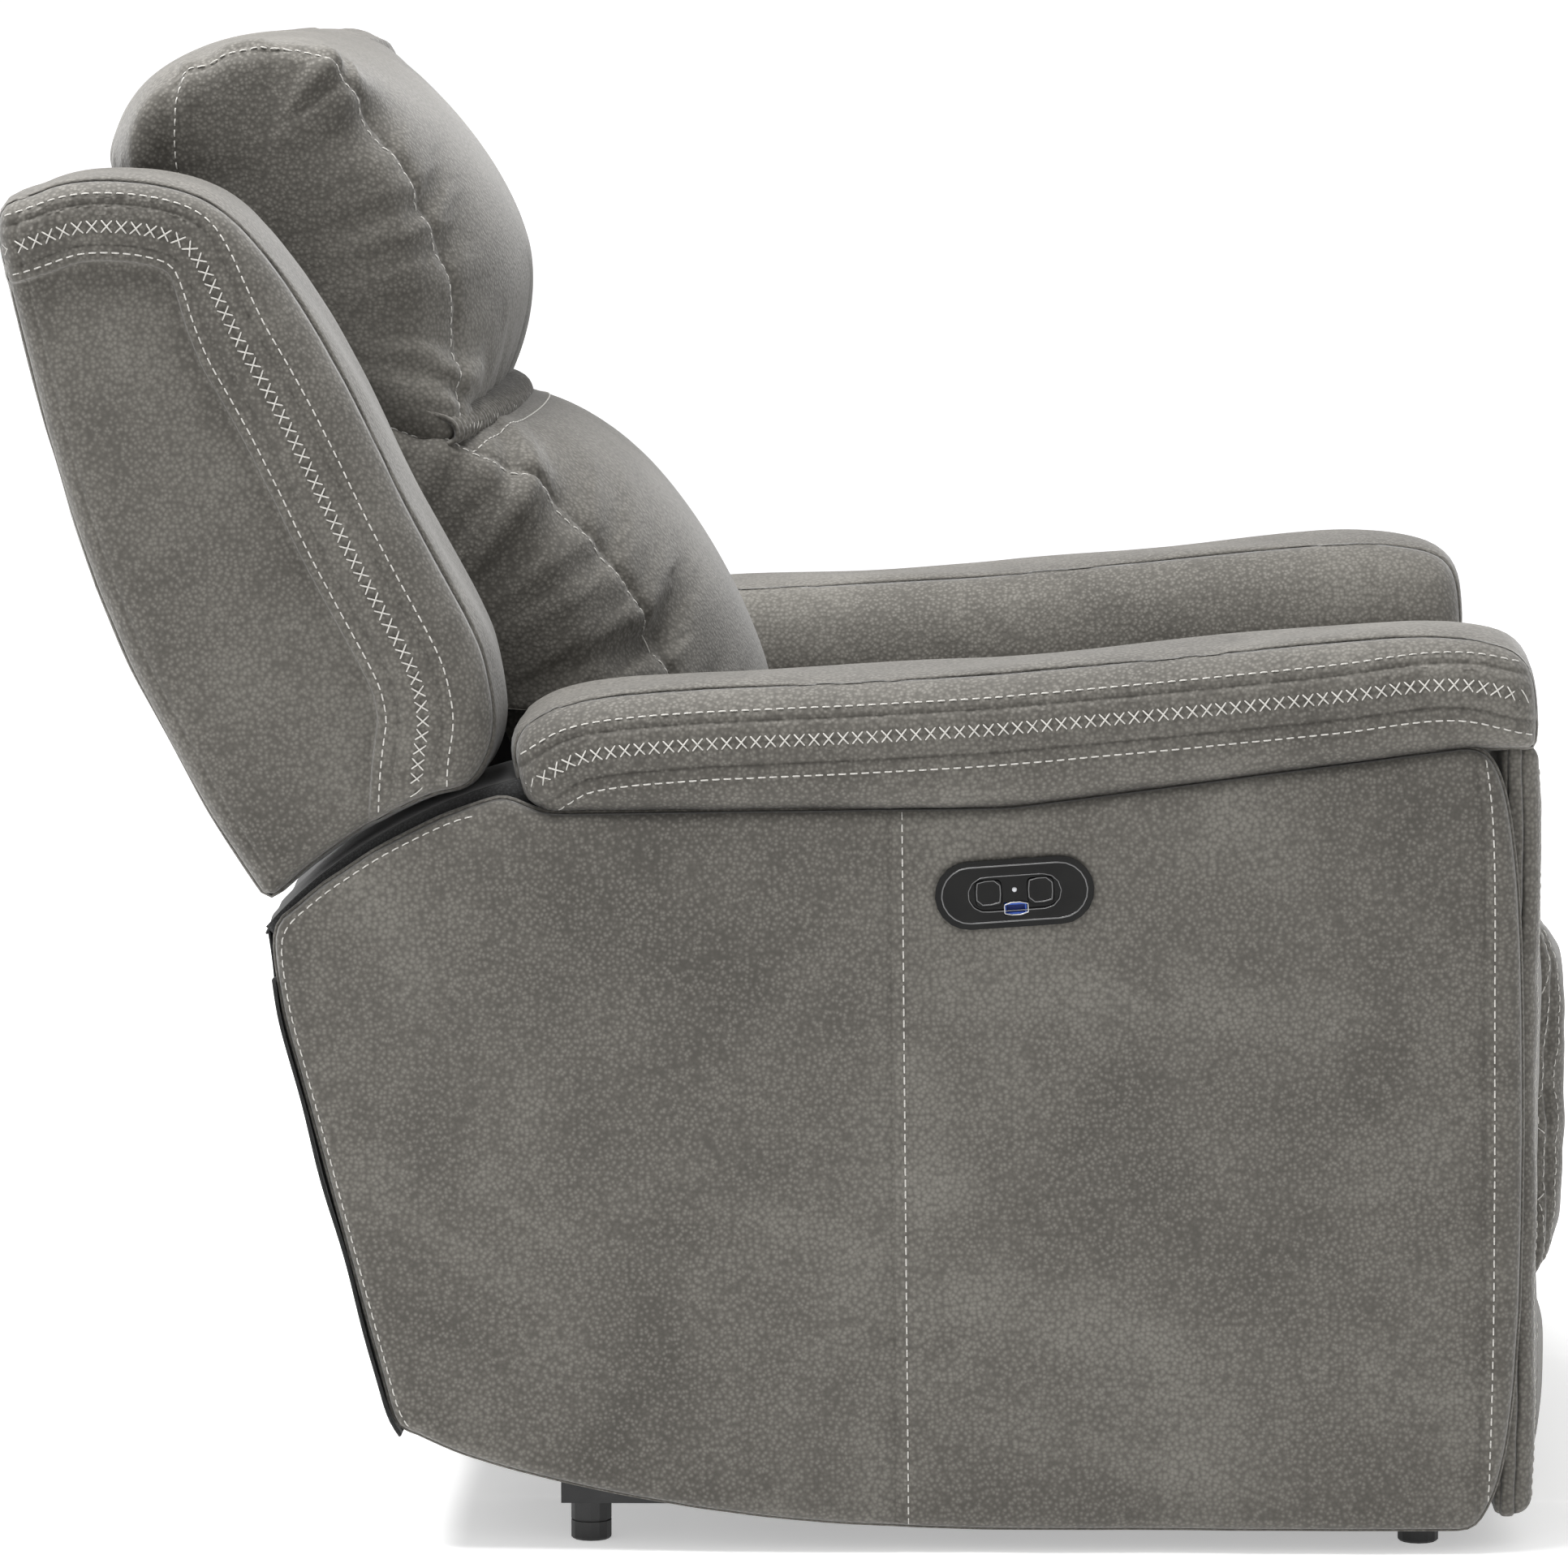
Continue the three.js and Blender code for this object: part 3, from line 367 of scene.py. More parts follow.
def face_of_cover(outline, relief, rounding, rows, spacing=SHELL_SPACING):
    """A face of a tailored cover inside an outline: points in the side view, triangles, and how far
    each point lies below the face's plane. Rows of points follow each seam."""
    count = len(outline)
    points = [outline]
    edges = [(k, (k + 1) % count) for k in range(count)]
    inward = -outward_of(outline)
    closed = np.vstack([outline, outline[:1]])
    total = count
    lines = []
    for share in (0.035, 0.13, 0.29, 0.52, 0.8, 1.1):
        lines.append((outline + inward * share * rounding, 0.93 * share * rounding))
    for row in rows:
        along = np.gradient(row, axis=0)
        across = np.stack([-along[:, 1], along[:, 0]], 1)
        across /= np.linalg.norm(across, axis=1)[:, None]
        for offset in (-0.0075, -0.0036, -0.0017, -0.0007, 0.0, 0.0007, 0.0017, 0.0036, 0.0075):
            lines.append((row + across * offset, 0.0012))
    for row_points, least in lines:
        inside = inside_of(row_points, outline) & (line_distance(row_points,
                                                                 closed)[0] > max(least, 0.0004))
        kept = np.flatnonzero(inside)
        number = {int(k): total + n for n, k in enumerate(kept)}
        edges += [(number[k], number[k + 1]) for k in number if k + 1 in number]
        points.append(row_points[kept])
        total += len(kept)
    placed = np.vstack(points)
    tree = KDTree(len(placed))
    for k, (x, z) in enumerate(placed):
        tree.insert((x, z, 0.0), k)
    tree.balance()
    low, high = outline.min(0), outline.max(0)
    lattice = []
    for r, z in enumerate(np.arange(low[1], high[1], spacing * 0.87)):
        for x in np.arange(low[0] + (r % 2) * spacing / 2, high[0], spacing):
            if tree.find((x, z, 0.0))[2] > spacing * 0.62:
                lattice.append((x, z))
    lattice = np.array(lattice)
    lattice = lattice[inside_of(lattice, outline)]
    placed = np.vstack([placed, lattice])
    made = delaunay_2d_cdt([Vector(p) for p in placed], edges, [], 1, 1e-7)
    flat = np.array([tuple(v) for v in made[0]])
    triangles = [tuple(face) for face in made[2]]
    edge_gap = line_distance(flat, closed)[0]
    into = np.clip(edge_gap / rounding, 0, 1)
    below = rounding * (1 - np.sqrt(np.clip(1 - (1 - into) ** 2, 0, 1))) + relief(flat, edge_gap)
    ring = [int(np.argmin(np.linalg.norm(flat - p, axis=1))) for p in outline]
    return flat, triangles, below, ring


def inside_of(points, outline):
    inside = np.zeros(len(points), bool)
    for a, b in zip(outline, np.roll(outline, -1, 0)):
        crosses = (a[1] > points[:, 1]) != (b[1] > points[:, 1])
        if crosses.any():
            slope = (b[0] - a[0]) / (b[1] - a[1]) if b[1] != a[1] else 0.0
            inside ^= crosses & (points[:, 0] < a[0] + (points[:, 1] - a[1]) * slope)
    return inside


def tailored(name, outline, y_outer, y_inner, faces, crown, body, material=None,
             rim_shape=None, rim_rows=16):
    """A closed padded piece: an outer face, a rim that crosses the chair, and an inner face.
    faces holds the two (relief, rounding, seam rows)."""
    sign = 1.0 if y_outer > y_inner else -1.0
    vertices, triangles, rings, ys = [], [], [], []
    for plane, outward, (relief, rounding, rows) in (
        (y_outer, sign, faces[0]), (y_inner, -sign, faces[1]),
    ):
        flat, made, below, ring = face_of_cover(outline, relief, rounding, rows)
        start = len(vertices)
        vertices += [(x, plane - outward * b, z) for (x, z), b in zip(flat, below)]
        facing = -1.0 if outward < 0 else 1.0
        for a, b, c in made:
            turn = np.cross(flat[b] - flat[a], flat[c] - flat[a])
            flip = (turn > 0) == (facing > 0)
            triangles.append((start + a, start + c, start + b) if flip else (start + a, start + b,
                                                                             start + c))
        rings.append([start + k for k in ring])
        ys.append(plane)
    count = len(outline)
    normal = outward_of(outline)
    previous = rings[0]
    for row in range(1, rim_rows):
        share = row / rim_rows
        current = []
        for k in range(count):
            start, end = np.array(vertices[rings[0][k]]), np.array(vertices[rings[1][k]])
            point = start + (end - start) * share
            swell = crown * (1 - (2 * share - 1) ** 4) ** 0.8
            if rim_shape:
                swell += rim_shape(k, share)
            current.append(len(vertices))
            vertices.append((point[0] + normal[k, 0] * swell, point[1],
                             point[2] + normal[k, 1] * swell))
        triangles += strip(previous, current, sign)
        previous = current
    triangles += strip(previous, rings[1], sign)
    return link(name, vertices, triangles, material or leather_cover, body)


def strip(first, second, sign):
    made = []
    count = len(first)
    for k in range(count):
        a, b, c, d = first[k], first[(k + 1) % count], second[(k + 1) % count], second[k]
        made.append((a, b, c, d) if sign < 0 else (d, c, b, a))
    return made


def run_of(outline, first, last, before, after):
    """The stretch of an outline clockwise from its corner towards first to its corner towards
    last, with straight run-offs before and after it."""
    start = int(np.argmax(outline @ np.array(first)))
    end = int(np.argmax(outline @ np.array(last)))
    order = [(start - k) % len(outline) for k in range((start - end) % len(outline) + 1)]
    stretch = outline[order]
    return dense(np.vstack([stretch[:1] + before, stretch, stretch[-1:] + after]), 0.004)


def inset_line(run, depths, ease=6):
    """A line a given depth inside a run, which has the outline's inside on its right."""
    along = np.gradient(run, axis=0)
    along /= np.linalg.norm(along, axis=1)[:, None]
    line = run + np.stack([along[:, 1], -along[:, 0]], 1) * np.asarray(depths)[:, None]
    kept = [line[0]]
    for point in line[1:]:
        ahead = point - kept[-1]
        if len(kept) < 2 or ahead @ (kept[-1] - kept[-2]) > 0:
            kept.append(point)
    line = np.array(kept)
    for _ in range(ease):
        line[1:-1] = 0.5 * line[1:-1] + 0.25 * (line[:-2] + line[2:])
    return dense(line, 0.004)


def step_up(value, low, high):
    share = np.clip((value - low) / (high - low), 0, 1)
    return share * share * (3 - 2 * share)


def surface_of(piece):
    piece.data.calc_loop_triangles()
    corners = [v.co.copy() for v in piece.data.vertices]
    return BVHTree.FromPolygons(corners, [tuple(t.vertices) for t in piece.data.loop_triangles])


def strand(parts, start, end, out, radius, arch):
    """One stitch of thread: it rises out of its hole, lies over the cover and dips back in."""
    vertices, faces = parts
    span = end - start
    side = span.cross(out).normalized()
    first = len(vertices)
    for share, lift, size in ((0.0, -0.9, 0.55), (0.12, 0.35, 0.95), (0.5, 1.0, 1.0),
                              (0.88, 0.35, 0.95), (1.0, -0.9, 0.55)):
        middle = start + span * share + out * (arch * lift)
        for k in range(6):
            turn = math.pi * k / 3
            vertices.append(middle + (side * math.cos(turn) + out * math.sin(turn) * 0.8) * radius
                            * size)
    for ring in range(4):
        for k in range(6):
            a, b = first + ring * 6 + k, first + ring * 6 + (k + 1) % 6
            faces.append((a, b, b + 6, a + 6))
    faces.append(tuple(first + k for k in reversed(range(6))))
    faces.append(tuple(first + 24 + k for k in range(6)))


THREAD_RADIUS = 0.00052
STITCH_PITCH = 0.0077
STITCH_LENGTH = 0.0056
CROSS_PITCH = 0.0098
CROSS_HEIGHT = 0.0092


def landed(surface, point, toward):
    """The place on a cover met from a point outside it, and the cover's normal there."""
    toward = Vector(toward)
    hit, normal = surface.ray_cast(Vector(point) - toward * 0.05, toward, 0.16)[:2]
    if hit is None:
        hit, normal = surface.find_nearest(Vector(point))[:2]
    return hit, (normal if normal.dot(toward) < 0 else -normal)


def sew(parts, surface, path, toward, crossed=False):
    """Stitches along a 3-D path, on the cover it lies over."""
    pitch = CROSS_PITCH if crossed else STITCH_PITCH
    length = float(np.linalg.norm(np.diff(path, axis=0), axis=1).sum())
    marks = dense(path, length / max(1, round(length / pitch)))
    for one, other in zip(marks[:-1], marks[1:]):
        one, other = Vector(one), Vector(other)
        if crossed:
            across = (other - one).cross(Vector(toward)).normalized() * (CROSS_HEIGHT / 2)
            for turn in (1, -1):
                a, up = landed(surface, one.lerp(other, 0.08) + across * turn, toward)
                b, _ = landed(surface, one.lerp(other, 0.92) - across * turn, toward)
                strand(parts, a, b, up, THREAD_RADIUS, 0.0006 + 0.0003 * (turn > 0))
        else:
            gap = (1 - STITCH_LENGTH / STITCH_PITCH) / 2
            a, up = landed(surface, one.lerp(other, gap), toward)
            b, _ = landed(surface, one.lerp(other, 1 - gap), toward)
            strand(parts, a, b, up, THREAD_RADIUS, 0.0005)


def outer_and_inner(node, sign):
    """The y of a side piece's outer and inner faces."""
    low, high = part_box(node)
    return (low[1], high[1]) if sign < 0 else (high[1], low[1])


def side_path(line, y):
    """A line of the side view, as a path at one y."""
    return np.stack([line[:, 0], np.full(len(line), y), line[:, 1]], 1)


thread_finish = Finish("thread", (0.50, 0.485, 0.455), 0.62, Specular_IOR_Level=0.3,
                       Sheen_Weight=0.3)
thread_place = thread_finish.place()
thread_finish.feed(
    Base_Color=thread_finish.ramp(thread_finish.noise(thread_place, 900.0, 2.0),
                                  (0.3, (0.40, 0.388, 0.362)), (0.7, (0.58, 0.565, 0.53))),
    Normal=thread_finish.bump(thread_finish.noise(thread_place, 1500.0, 1.0), 0.6, 0.0003),
)


def thread_piece(name, parts, body):
    return link(name, parts[0], parts[1], thread_finish.material, body)


def pulled_in(outline, amount):
    """The outline moved inward, by one amount or by one for each point."""
    return outline - outward_of(outline) * np.reshape(amount, (-1, 1))


def rearness(outline):
    """1 where an outline faces the rear, 0 where it faces up or forward."""
    return step_up(-outward_of(outline)[:, 0], 0.45, 0.85)


WING_CROWN = 0.005
WING_TOP_BANDS = {"edge stitch": 0.012, "edge seam": 0.019, "cross stitch": 0.034,
                  "lower seam": 0.046, "lower stitch": 0.0515, "step": 0.0565}
WING_FRONT_BANDS = {"edge stitch": 0.030, "edge seam": 0.037, "cross stitch": 0.050,
                    "lower seam": 0.066, "lower stitch": 0.0745, "step": 0.080}
WING_INSET = 0.0075
wing_outline = outline_of("wing_right", 0.006)
wing_outline = pulled_in(wing_outline, WING_CROWN - (WING_CROWN + 0.0025) * rearness(wing_outline))
wing_run = run_of(wing_outline, (-0.7, 1.0), (1.0, -0.35),
                  np.array((-0.050, -0.007)), np.array((-0.006, -0.085)))
wing_front = step_up(wing_run[:, 0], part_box("wing_right")[0][0] + 0.135,
                     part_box("wing_right")[0][0] + 0.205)
wing_lines = {}
for line_name, top_depth in WING_TOP_BANDS.items():
    depths = top_depth + (WING_FRONT_BANDS[line_name] - top_depth) * wing_front
    wing_lines[line_name] = inset_line(wing_run, depths - WING_CROWN)
wing_rear_run = run_of(wing_outline, (-0.9, -1.0), (-1.0, 0.75), np.array((0.02, -0.02)),
                       np.array((0.002, 0.03)))
wing_rear_seam = inset_line(wing_rear_run, np.full(len(wing_rear_run), 0.013))
wing_bounds = wing_outline.min(0), wing_outline.max(0)


def wing_outer_relief(flat, edge_gap):
    gap, where = line_distance(flat, wing_run)
    step_at = line_distance(wing_lines["step"], wing_run)
    order = np.argsort(step_at[1])
    step_depth = np.interp(where, step_at[1][order], step_at[0][order])
    below = WING_INSET * step_up(gap - step_depth, -0.0008, 0.0020)
    front = step_up(flat[:, 0], wing_bounds[0][0] + 0.13, wing_bounds[0][0] + 0.21)
    below += 0.011 * front * (1 - step_up(gap, 0.0, 0.046)) ** 1.5
    for line_name, depth in (("edge seam", 0.0026), ("lower seam", 0.0022),
                             ("cross stitch", 0.0009)):
        distance, along = line_distance(flat, wing_lines[line_name])
        pull = 1 + 0.25 * smooth_noise(along, 0.031, 3)
        below += seam_dip(distance, depth) * pull
        below -= 0.0005 * np.sin(2 * np.pi * along / CROSS_PITCH) * np.exp(-(distance / 0.006) ** 2)
    below += seam_dip(line_distance(flat, wing_rear_seam)[0], 0.0018)
    inset = step_up(gap - step_depth, 0.0, 0.05)
    below -= 0.0045 * inset * step_up(edge_gap, 0.0, 0.05)
    below += 0.0011 * smooth_noise(flat[:, 0] + 0.4 * flat[:, 1], 0.16, 5)
    below += 0.0008 * smooth_noise(flat[:, 1] - 0.7 * flat[:, 0], 0.11, 6)
    return below


def wing_inner_relief(flat, edge_gap):
    distance = line_distance(flat, wing_lines["edge seam"])[0]
    return (seam_dip(distance, 0.0020) - 0.002 * step_up(edge_gap, 0, 0.08)
            + 0.0012 * smooth_noise(flat[:, 0] - 0.5 * flat[:, 1], 0.15, 11))


def wing_rim(k, share):
    """The top boxing is sewn to the two faces just inside its edges."""
    near = min(abs(share - 0.11), abs(share - 0.89)) * 0.19
    return -float(seam_dip(np.array(near), 0.0016)) + 0.0007 * math.sin(k * 0.21 + 9 * share)


wing_seam_rows = [wing_lines["edge seam"], wing_lines["cross stitch"], wing_lines["lower seam"],
                  wing_lines["step"], wing_rear_seam]
for side, sign in (("right", -1.0), ("left", 1.0)):
    node = "wing_" + side
    outer, inner = outer_and_inner(node, sign)
    wing = tailored(node + "_cover", wing_outline, outer, inner,
                    ((wing_outer_relief, 0.020, wing_seam_rows),
                     (wing_inner_relief, 0.018, [wing_lines["edge seam"]])),
                    WING_CROWN, "back", rim_shape=wing_rim)
    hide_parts(node)
    surface = surface_of(wing)
    parts = ([], [])
    toward = (0.0, -sign, 0.0)
    for line_name, crossed in (("edge stitch", False), ("cross stitch", True),
                               ("lower stitch", False)):
        line = wing_lines[line_name]
        line = line[inside_of(line, wing_outline)]
        sew(parts, surface, side_path(line, outer), toward, crossed)
    line = wing_lines["edge stitch"]
    line = line[inside_of(line, wing_outline)]
    sew(parts, surface, side_path(line, inner), (0.0, sign, 0.0))
    thread_piece(node + "_thread", parts, "back")

# ---------------------------------------------------------------- arm pads
# A long padded top on each arm, fuller at its front: a crowned top sewn to a band that hangs over
# the side panel, with a row of cross stitches between two seams and plain stitches above and below.
ARM_CROWN = 0.004
ARM_BANDS = {"edge stitch": 0.017, "edge seam": 0.024, "cross stitch": 0.038,
             "lower seam": 0.053, "lower stitch": 0.062}
ARM_FRONT_BANDS = {"edge stitch": 0.010, "edge seam": 0.017, "cross stitch": 0.031,
                   "lower seam": 0.046, "lower stitch": 0.055}
ARM_SKIRT = 0.009
arm_outline = outline_of("arm_pad_right", 0.006)
arm_outline[:, 1] -= ARM_SKIRT * step_up(-outward_of(arm_outline)[:, 1], 0.1, 0.8)
arm_outline = pulled_in(dense(arm_outline, 0.006, closed=True), ARM_CROWN)
arm_run = run_of(arm_outline, (-0.55, 1.0), (0.45, 1.0),
                 np.array((-0.035, -0.024)), np.array((0.05, -0.012)))
arm_front_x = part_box("arm_pad_right")[1][0]
arm_taper = step_up(arm_run[:, 0], arm_front_x - 0.16, arm_front_x - 0.02)
arm_lines = {}
for line_name, depth in ARM_BANDS.items():
    depths = depth + (ARM_FRONT_BANDS[line_name] - depth) * arm_taper
    arm_lines[line_name] = inset_line(arm_run, depths - ARM_CROWN)


def arm_outer_relief(flat, edge_gap):
    gap = line_distance(flat, arm_run)[0]
    below = 0.006 * (1 - step_up(gap, 0.0, 0.034)) ** 1.5
    for line_name, depth in (("edge seam", 0.0026), ("lower seam", 0.0022),
                             ("cross stitch", 0.0009)):
        distance, along = line_distance(flat, arm_lines[line_name])
        pull = 1 + 0.3 * smooth_noise(along, 0.035, 4)
        below += seam_dip(distance, depth) * pull
        below -= 0.0005 * np.sin(2 * np.pi * along / CROSS_PITCH) * np.exp(-(distance / 0.006) ** 2)
    lower = line_distance(flat, arm_lines["lower seam"])[0]
    below -= 0.0012 * np.exp(-((lower - 0.010) / 0.009) ** 2)
    below += 0.0010 * smooth_noise(flat[:, 0], 0.17, 8)
    below += 0.0007 * smooth_noise(flat[:, 0] + flat[:, 1], 0.09, 9)
    return below


def arm_inner_relief(flat, edge_gap):
    gap = line_distance(flat, arm_run)[0]
    return (0.0012 * smooth_noise(flat[:, 0] + 0.6 * flat[:, 1], 0.16, 13)
            + 0.026 * (1 - step_up(gap, -0.02, 0.085)) ** 1.6)


def arm_rim(k, share):
    """The crowned top narrows between its two sewn edges."""
    near = min(abs(share - 0.08), abs(share - 0.92)) * 0.19
    return -float(seam_dip(np.array(near), 0.0012)) + 0.0009 * math.sin(k * 0.17 + 5 * share)


for side, sign in (("right", -1.0), ("left", 1.0)):
    node = "arm_pad_" + side
    outer, inner = outer_and_inner(node, sign)
    rows = [arm_lines[name] for name in ("edge seam", "cross stitch", "lower seam")]
    arm_pad = tailored(node + "_cover", arm_outline, outer, inner,
                       ((arm_outer_relief, 0.022, rows), (arm_inner_relief, 0.026, [])),
                       ARM_CROWN, "base", rim_shape=arm_rim)
    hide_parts(node)
    surface = surface_of(arm_pad)
    parts = ([], [])
    for line_name, crossed in (("edge stitch", False), ("cross stitch", True),
                               ("lower stitch", False)):
        line = arm_lines[line_name]
        line = line[inside_of(line, arm_outline)]
        sew(parts, surface, side_path(line, outer), (0.0, -sign, 0.0), crossed)
    thread_piece(node + "_thread", parts, "base")

# ---------------------------------------------------------------- side panels
# A thinly padded board on the outside of each arm: two covers joined by an upright seam, a rolled
# front edge with its own seam, and a stitched arc at the rear that the wing swings past.
PANEL_CROWN = 0.002
PANEL_ROUNDING = 0.010
panel_outline = outline_of("side_panel_right", 0.007)
panel_outline = pulled_in(panel_outline, PANEL_CROWN - 0.004 * rearness(panel_outline))
panel_low, panel_high = panel_outline.min(0), panel_outline.max(0)
middle_seam = dense([(panel_low[0] + 0.413, panel_high[1] + 0.01),
                     (panel_low[0] + 0.419, panel_low[1] - 0.01)], 0.004)
front_seam = flowing([(panel_high[0] - 0.036, panel_high[1] + 0.01),
                      (panel_high[0] - 0.028, panel_high[1] - 0.06),
                      (panel_high[0] - 0.026, 0.35), (panel_high[0] - 0.025, 0.15),
                      (panel_high[0] - 0.028, panel_low[1] - 0.01)], 0.004)
panel_rear_run = run_of(panel_outline, (-1.0, -0.9), (-0.35, 1.0), np.array((0.004, -0.004)),
                        np.array((0.004, 0.0)))
panel_rear_line = inset_line(panel_rear_run, np.full(len(panel_rear_run), 0.0065 - PANEL_CROWN))
bezel_low, bezel_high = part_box("control_bezel")
bezel_middle = np.array(((bezel_low[0] + bezel_high[0]) / 2, (bezel_low[2] + bezel_high[2]) / 2))
BEZEL_TILT = math.radians(4.0)
BEZEL_REACH = 0.0305
BEZEL_RADIUS = 0.023


def bezel_gap(flat):
    """Distance outside the control bezel's pill outline, negative inside it."""
    along = np.array((math.cos(BEZEL_TILT), math.sin(BEZEL_TILT)))
    spread = flat - bezel_middle
    run = np.clip(spread @ along, -BEZEL_REACH, BEZEL_REACH)
    return np.linalg.norm(spread - run[:, None] * along, axis=1) - BEZEL_RADIUS


def panel_relief(with_bezel):
    def relief(flat, edge_gap):
        below = np.zeros(len(flat))
        for line, depth in ((middle_seam, 0.0022), (front_seam, 0.0024)):
            distance, along = line_distance(flat, line)
            below += seam_dip(distance, depth) * (1 + 0.25 * smooth_noise(along, 0.05, 14))
        below += 0.0006 * np.exp(-(line_distance(flat, panel_rear_line)[0] / 0.003) ** 2)
        waves = (0.0016 * smooth_noise(flat[:, 0] + 0.35 * flat[:, 1], 0.34, 15)
                 + 0.0013 * smooth_noise(flat[:, 1] - 0.5 * flat[:, 0], 0.27, 16)
                 + 0.0006 * smooth_noise(flat[:, 0] - 1.3 * flat[:, 1], 0.13, 17))
        crown = 0.0030 * step_up(edge_gap, 0.0, 0.09)
        if with_bezel:
            gap = bezel_gap(flat)
            near = step_up(gap, 0.002, 0.05)
            below += (0.0165 * (1 - step_up(gap, -0.0045, -0.0020))
                      - 0.0009 * np.exp(-((gap - 0.004) / 0.004) ** 2))
            return below + (waves - crown) * near + 0.0004 * (1 - near)
        return below + waves - crown
    return relief


def flat_relief(flat, edge_gap):
    return 0.0004 * smooth_noise(flat[:, 0], 0.2, 18)


bezel_rows = []
for reach in (-0.0045, -0.0035, -0.0020, 0.0):
    ring = []
    for turn in np.linspace(0, 2 * math.pi, 49):
        along = math.copysign(BEZEL_REACH, math.cos(turn))
        ring.append(bezel_middle + (
            along * math.cos(BEZEL_TILT) + (BEZEL_RADIUS + reach) * math.cos(turn + BEZEL_TILT),
            along * math.sin(BEZEL_TILT) + (BEZEL_RADIUS + reach) * math.sin(turn + BEZEL_TILT),
        ))
    bezel_rows.append(dense(ring, 0.003))
for side, sign in (("right", -1.0), ("left", 1.0)):
    node = "side_panel_" + side
    outer, inner = outer_and_inner(node, sign)
    rows = [middle_seam, front_seam] + (bezel_rows if sign < 0 else [])
    panel = tailored(node + "_cover", panel_outline, outer, inner,
                     ((panel_relief(sign < 0), PANEL_ROUNDING, rows), (flat_relief, 0.003, [])),
                     PANEL_CROWN, "base", rim_rows=6)
    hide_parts(node)
    surface = surface_of(panel)
    parts = ([], [])
    for line in (middle_seam + np.array((0.008, 0.0)), front_seam + np.array((0.0065, 0.0)),
                 panel_rear_line):
        line = line[inside_of(line, panel_outline)]
        sew(parts, surface, side_path(line, outer), (0.0, -sign, 0.0))
    thread_piece(node + "_thread", parts, "base")

# ---------------------------------------------------------------- arm fronts, inner arms and back
# The upholstered strip down the front of each arm, the thin cover on its inside, and the padded
# panel that closes the back: plain covers sewn round a board, with one stitched edge.


def turned(piece):
    """Swaps a cover's x and y, for a piece built flat and stood facing forward."""
    for vertex in piece.data.vertices:
        vertex.co = (vertex.co.y, vertex.co.x, vertex.co.z)
    piece.data.flip_normals()


def soft_relief(seed, rise):
    def relief(flat, edge_gap):
        return (0.0011 * smooth_noise(flat[:, 0] + 0.5 * flat[:, 1], 0.19, seed)
                + 0.0008 * smooth_noise(flat[:, 1] - 0.4 * flat[:, 0], 0.12, seed + 1)
                - rise * step_up(edge_gap, 0.0, 0.07))
    return relief


def rounded_box(low, high, radius):
    corners = []
    for x, z, start in ((high[0], high[1], 0), (low[0], high[1], 90), (low[0], low[1], 180),
                        (high[0], low[1], 270)):
        for step in range(0, 91, 15):
            turn = math.radians(start + step)
            inward = radius * np.array((math.copysign(1, x - (low[0] + high[0]) / 2),
                                        math.copysign(1, z - (low[1] + high[1]) / 2)))
            corners.append(np.array((x, z)) - inward
                           + radius * np.array((math.cos(turn), math.sin(turn))))
    return dense(corners, 0.006, closed=True)


for side, sign in (("right", -1.0), ("left", 1.0)):
    node = "arm_front_" + side
    low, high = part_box(node)
    outline = rounded_box((low[1], low[2]), (high[1], high[2]), 0.012)
    front = tailored(node + "_cover", pulled_in(outline, 0.002), high[0], low[0],
                     ((soft_relief(21, 0.006), 0.012, []), (flat_relief, 0.004, [])),
                     0.002, "base", rim_rows=8)
    turned(front)
    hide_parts(node)
    surface = surface_of(front)
    parts = ([], [])
    edge = (low[1] if sign < 0 else high[1]) - sign * 0.016
    height = np.arange(low[2] + 0.012, high[2] - 0.012, 0.01)
    sew(parts, surface,
        np.stack([np.full(len(height), high[0]), np.full(len(height), edge), height], 1),
        (-1.0, 0.0, 0.0))
    thread_piece(node + "_thread", parts, "base")

    node = "arm_inner_" + side
    outer, inner = outer_and_inner(node, sign)
    inner_arm = tailored(node + "_cover", pulled_in(outline_of(node, 0.008), 0.001), inner, outer,
                         ((soft_relief(25, 0.0), 0.004, []), (flat_relief, 0.003, [])),
                         0.001, "base", rim_rows=4)
    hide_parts(node)

low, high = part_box("back_panel")
back_panel = tailored("back_panel_cover", pulled_in(outline_of("back_panel", 0.006), 0.002),
                      high[1], low[1],
                      ((flat_relief, 0.006, []), (flat_relief, 0.006, [])), 0.002, "back",
                      rim_rows=48,
                      rim_shape=lambda k, share: (0.0012 * math.sin(share * 19.0)
                                                  + 0.0008 * math.sin(k * 0.11 + share * 7)))
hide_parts("back_panel")

# ---------------------------------------------------------------- back cushions
# Two fibre-filled bags hang on the back, one over the other: a head bag and a fuller lumbar bag.
# Each has a crowned front panel sewn to side boxings, and the pull of the seams gathers the cover.
CUSHION_PRESSURE = 4.0
CUSHION_CAP = 0.024
HEAD_SINK = 0.022


